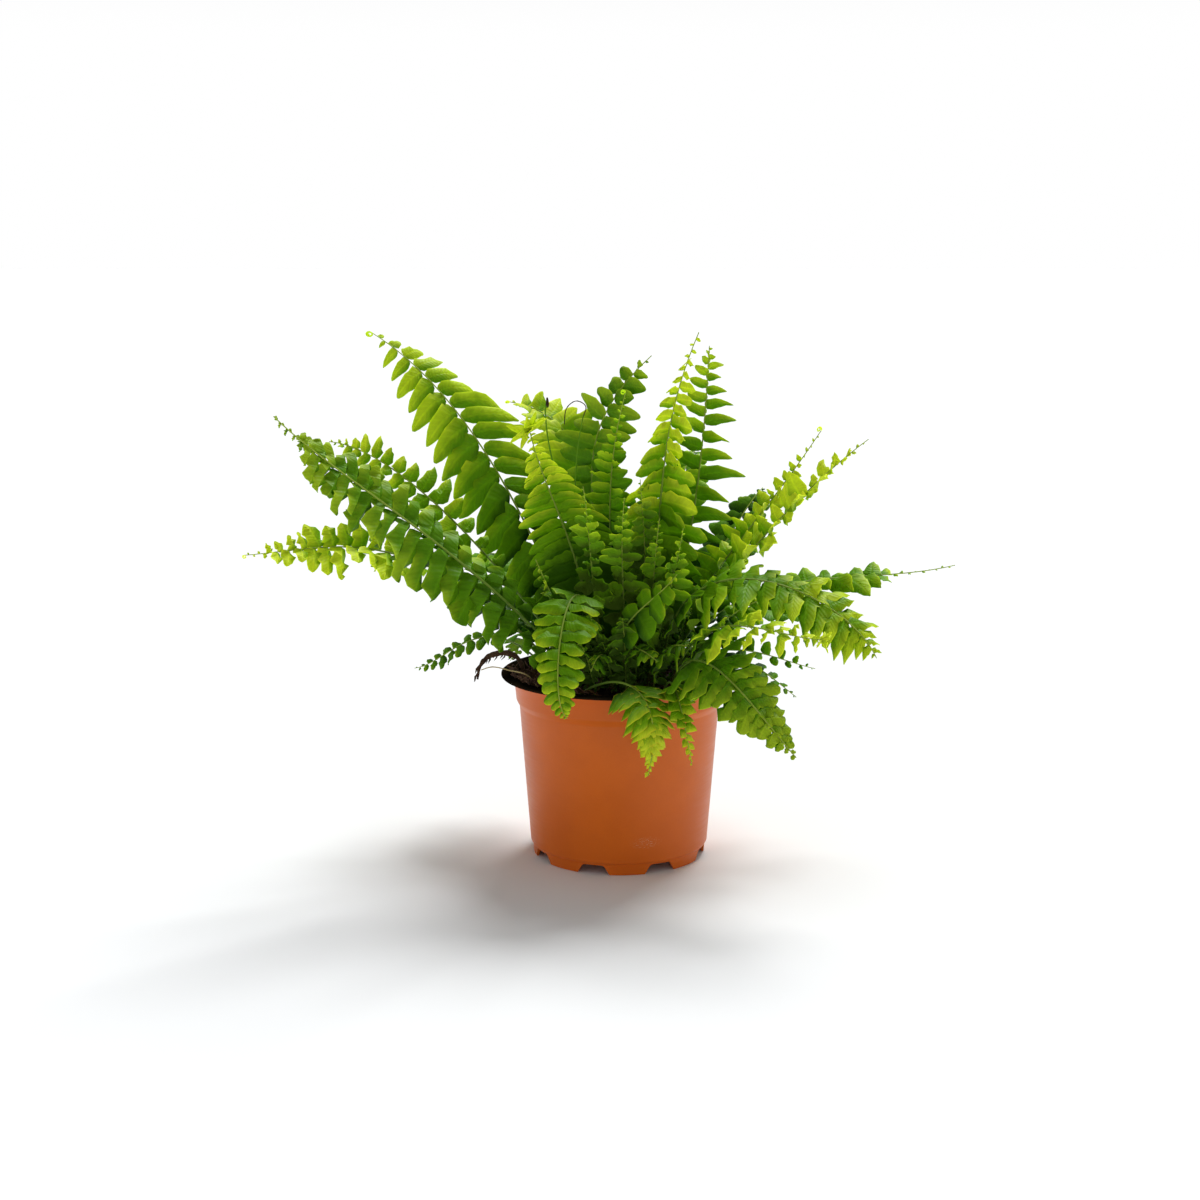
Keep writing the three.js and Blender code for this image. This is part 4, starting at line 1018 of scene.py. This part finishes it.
def make_crown(name):
    """A rootstock: a lumpy body under papery scales that point up and out, and its dead roots."""
    middle, half, strands = CROWNS[name]
    rng = random.Random(name)
    centre = Vector(middle)
    bm = bmesh.new()
    body = bmesh.ops.create_icosphere(bm, subdivisions=4, radius=1.0)["verts"]
    for vert in body:
        way = vert.co.copy()
        swell = 0.86 + 0.13 * noise.fractal(way * 2.4 + centre, 1.0, 2.0, 4)
        vert.co = centre + Vector([w * h * swell for w, h in zip(way, half)])
    for _ in range(CROWN_SCALES):
        way = Vector((rng.gauss(0, 1), rng.gauss(0, 1), abs(rng.gauss(0, 1)))).normalized()
        foot = centre + Vector([w * h * 0.84 for w, h in zip(way, half)])
        rise = UP * rng.uniform(-0.2, 0.9)
        out = (way + rise + Vector([rng.uniform(-0.5, 0.5) for _ in range(3)])).normalized()
        size = rng.uniform(1.5, 4.0)
        bend = out.orthogonal() * rng.uniform(-0.3, 0.3) * size
        add_tube(bm, [foot, foot + out * size * 0.5 + bend * 0.3, foot + out * size + bend],
                 [0.3, 0.24, 0.04], 3, 1)
    for _ in range(strands):
        angle, spin = radians(rng.uniform(155, 235)), rng.uniform(0.02, 0.06)
        reach, z, line = rng.uniform(43, 56), rng.uniform(89, 93), []
        for k in range(9):
            rise = rng.uniform(0.5, 3.5) * sin(pi * k / 8)
            height = max(z, 94.7) if reach > 51 else z
            line.append(Vector((reach * cos(angle), reach * sin(angle), height + rise)))
            angle += spin
            reach = min(57.5, reach + rng.uniform(-2.2, 1.4))
        add_tube(bm, line, [rng.uniform(0.25, 0.6)] * 9, 4, rng.choice((0, 0, 1)))
    sharpen(bm, 60)
    return finish_piece(name + "_scaly", bm, [ROOTSTOCK, SCALE], "crown", name)


# ---- Making it all ----

make_pot()
make_soil()
for row in FRONDS:
    frond = Sizes(**{"look": {}, **dict(zip(FIELDS, row))})
    frond.name = "frond_" + frond.name
    make_fronds(frond.name, [frond], frond.name)
make_fronds("young_growth", young_growth())
make_bare_stalks()
for name in CROWNS:
    make_crown(name)

# ---- Studio: floor, light and camera, in metres ----

# toward is the way to the lamp, and wide how broad it looks from the plant, in degrees.
LAMP = Sizes(toward=(0.24, 0.56, 0.79), wide=28, energy=3.25)
# The room's light by height, from -1 straight down to 1 straight up: bright below low, dim above
# high.
ROOM = Sizes(low=0.1, high=0.35, bright=1.0, dim=0.32)
# focal is the focal length in pixels of the photograph, which is as wide as frame, and tilt how far
# the camera looks down, in degrees.
CAMERA = Sizes(place=(-0.00975, -0.94, 0.305), tilt=10.5, focal=1890, frame=1200, sensor=36)


def make_floor():
    material, _, shader = new_material("floor_white", gloss=0.1, rough=0.9)
    shader.inputs["Base Color"].default_value = (0.885, 0.9, 0.91, 1)
    bm = bmesh.new()
    bmesh.ops.create_grid(bm, x_segments=1, y_segments=1, size=30.0)
    floor = put_in_scene("floor", bm)
    floor.data.materials.append(material)


def make_light():
    """A broad lamp far off above, behind and to the right, in a white room."""
    light = bpy.data.lights.new("overhead_soft", "SUN")
    light.energy, light.angle = LAMP.energy, radians(LAMP.wide)
    lamp = put_in_scene("overhead_soft", light)
    lamp.rotation_euler = Vector(LAMP.toward).to_track_quat("Z", "Y").to_euler()
    world = bpy.data.worlds.new("studio")
    world.use_nodes = True
    tree = world.node_tree
    way = add_node(tree, "TexCoord").outputs["Generated"]
    height = add_node(tree, "SeparateXYZ", {0: way}).outputs[2]
    background = tree.nodes["Background"].inputs
    background["Color"].default_value = (1, 1, 1, 1)
    strength = faded(tree, height, ROOM.low, ROOM.high, ROOM.bright, ROOM.dim)
    tree.links.new(strength, background["Strength"])
    scene.world = world


def make_camera():
    camera = bpy.data.cameras.new("camera")
    camera.sensor_width = CAMERA.sensor
    camera.lens = CAMERA.focal / CAMERA.frame * CAMERA.sensor
    camera.clip_start, camera.clip_end = 0.05, 50
    eye = put_in_scene("camera", camera)
    eye.location = CAMERA.place
    eye.rotation_euler = (radians(90 - CAMERA.tilt), 0, 0)
    scene.camera = eye


make_floor()
make_light()
scene.view_settings.view_transform = "Standard"
make_camera()
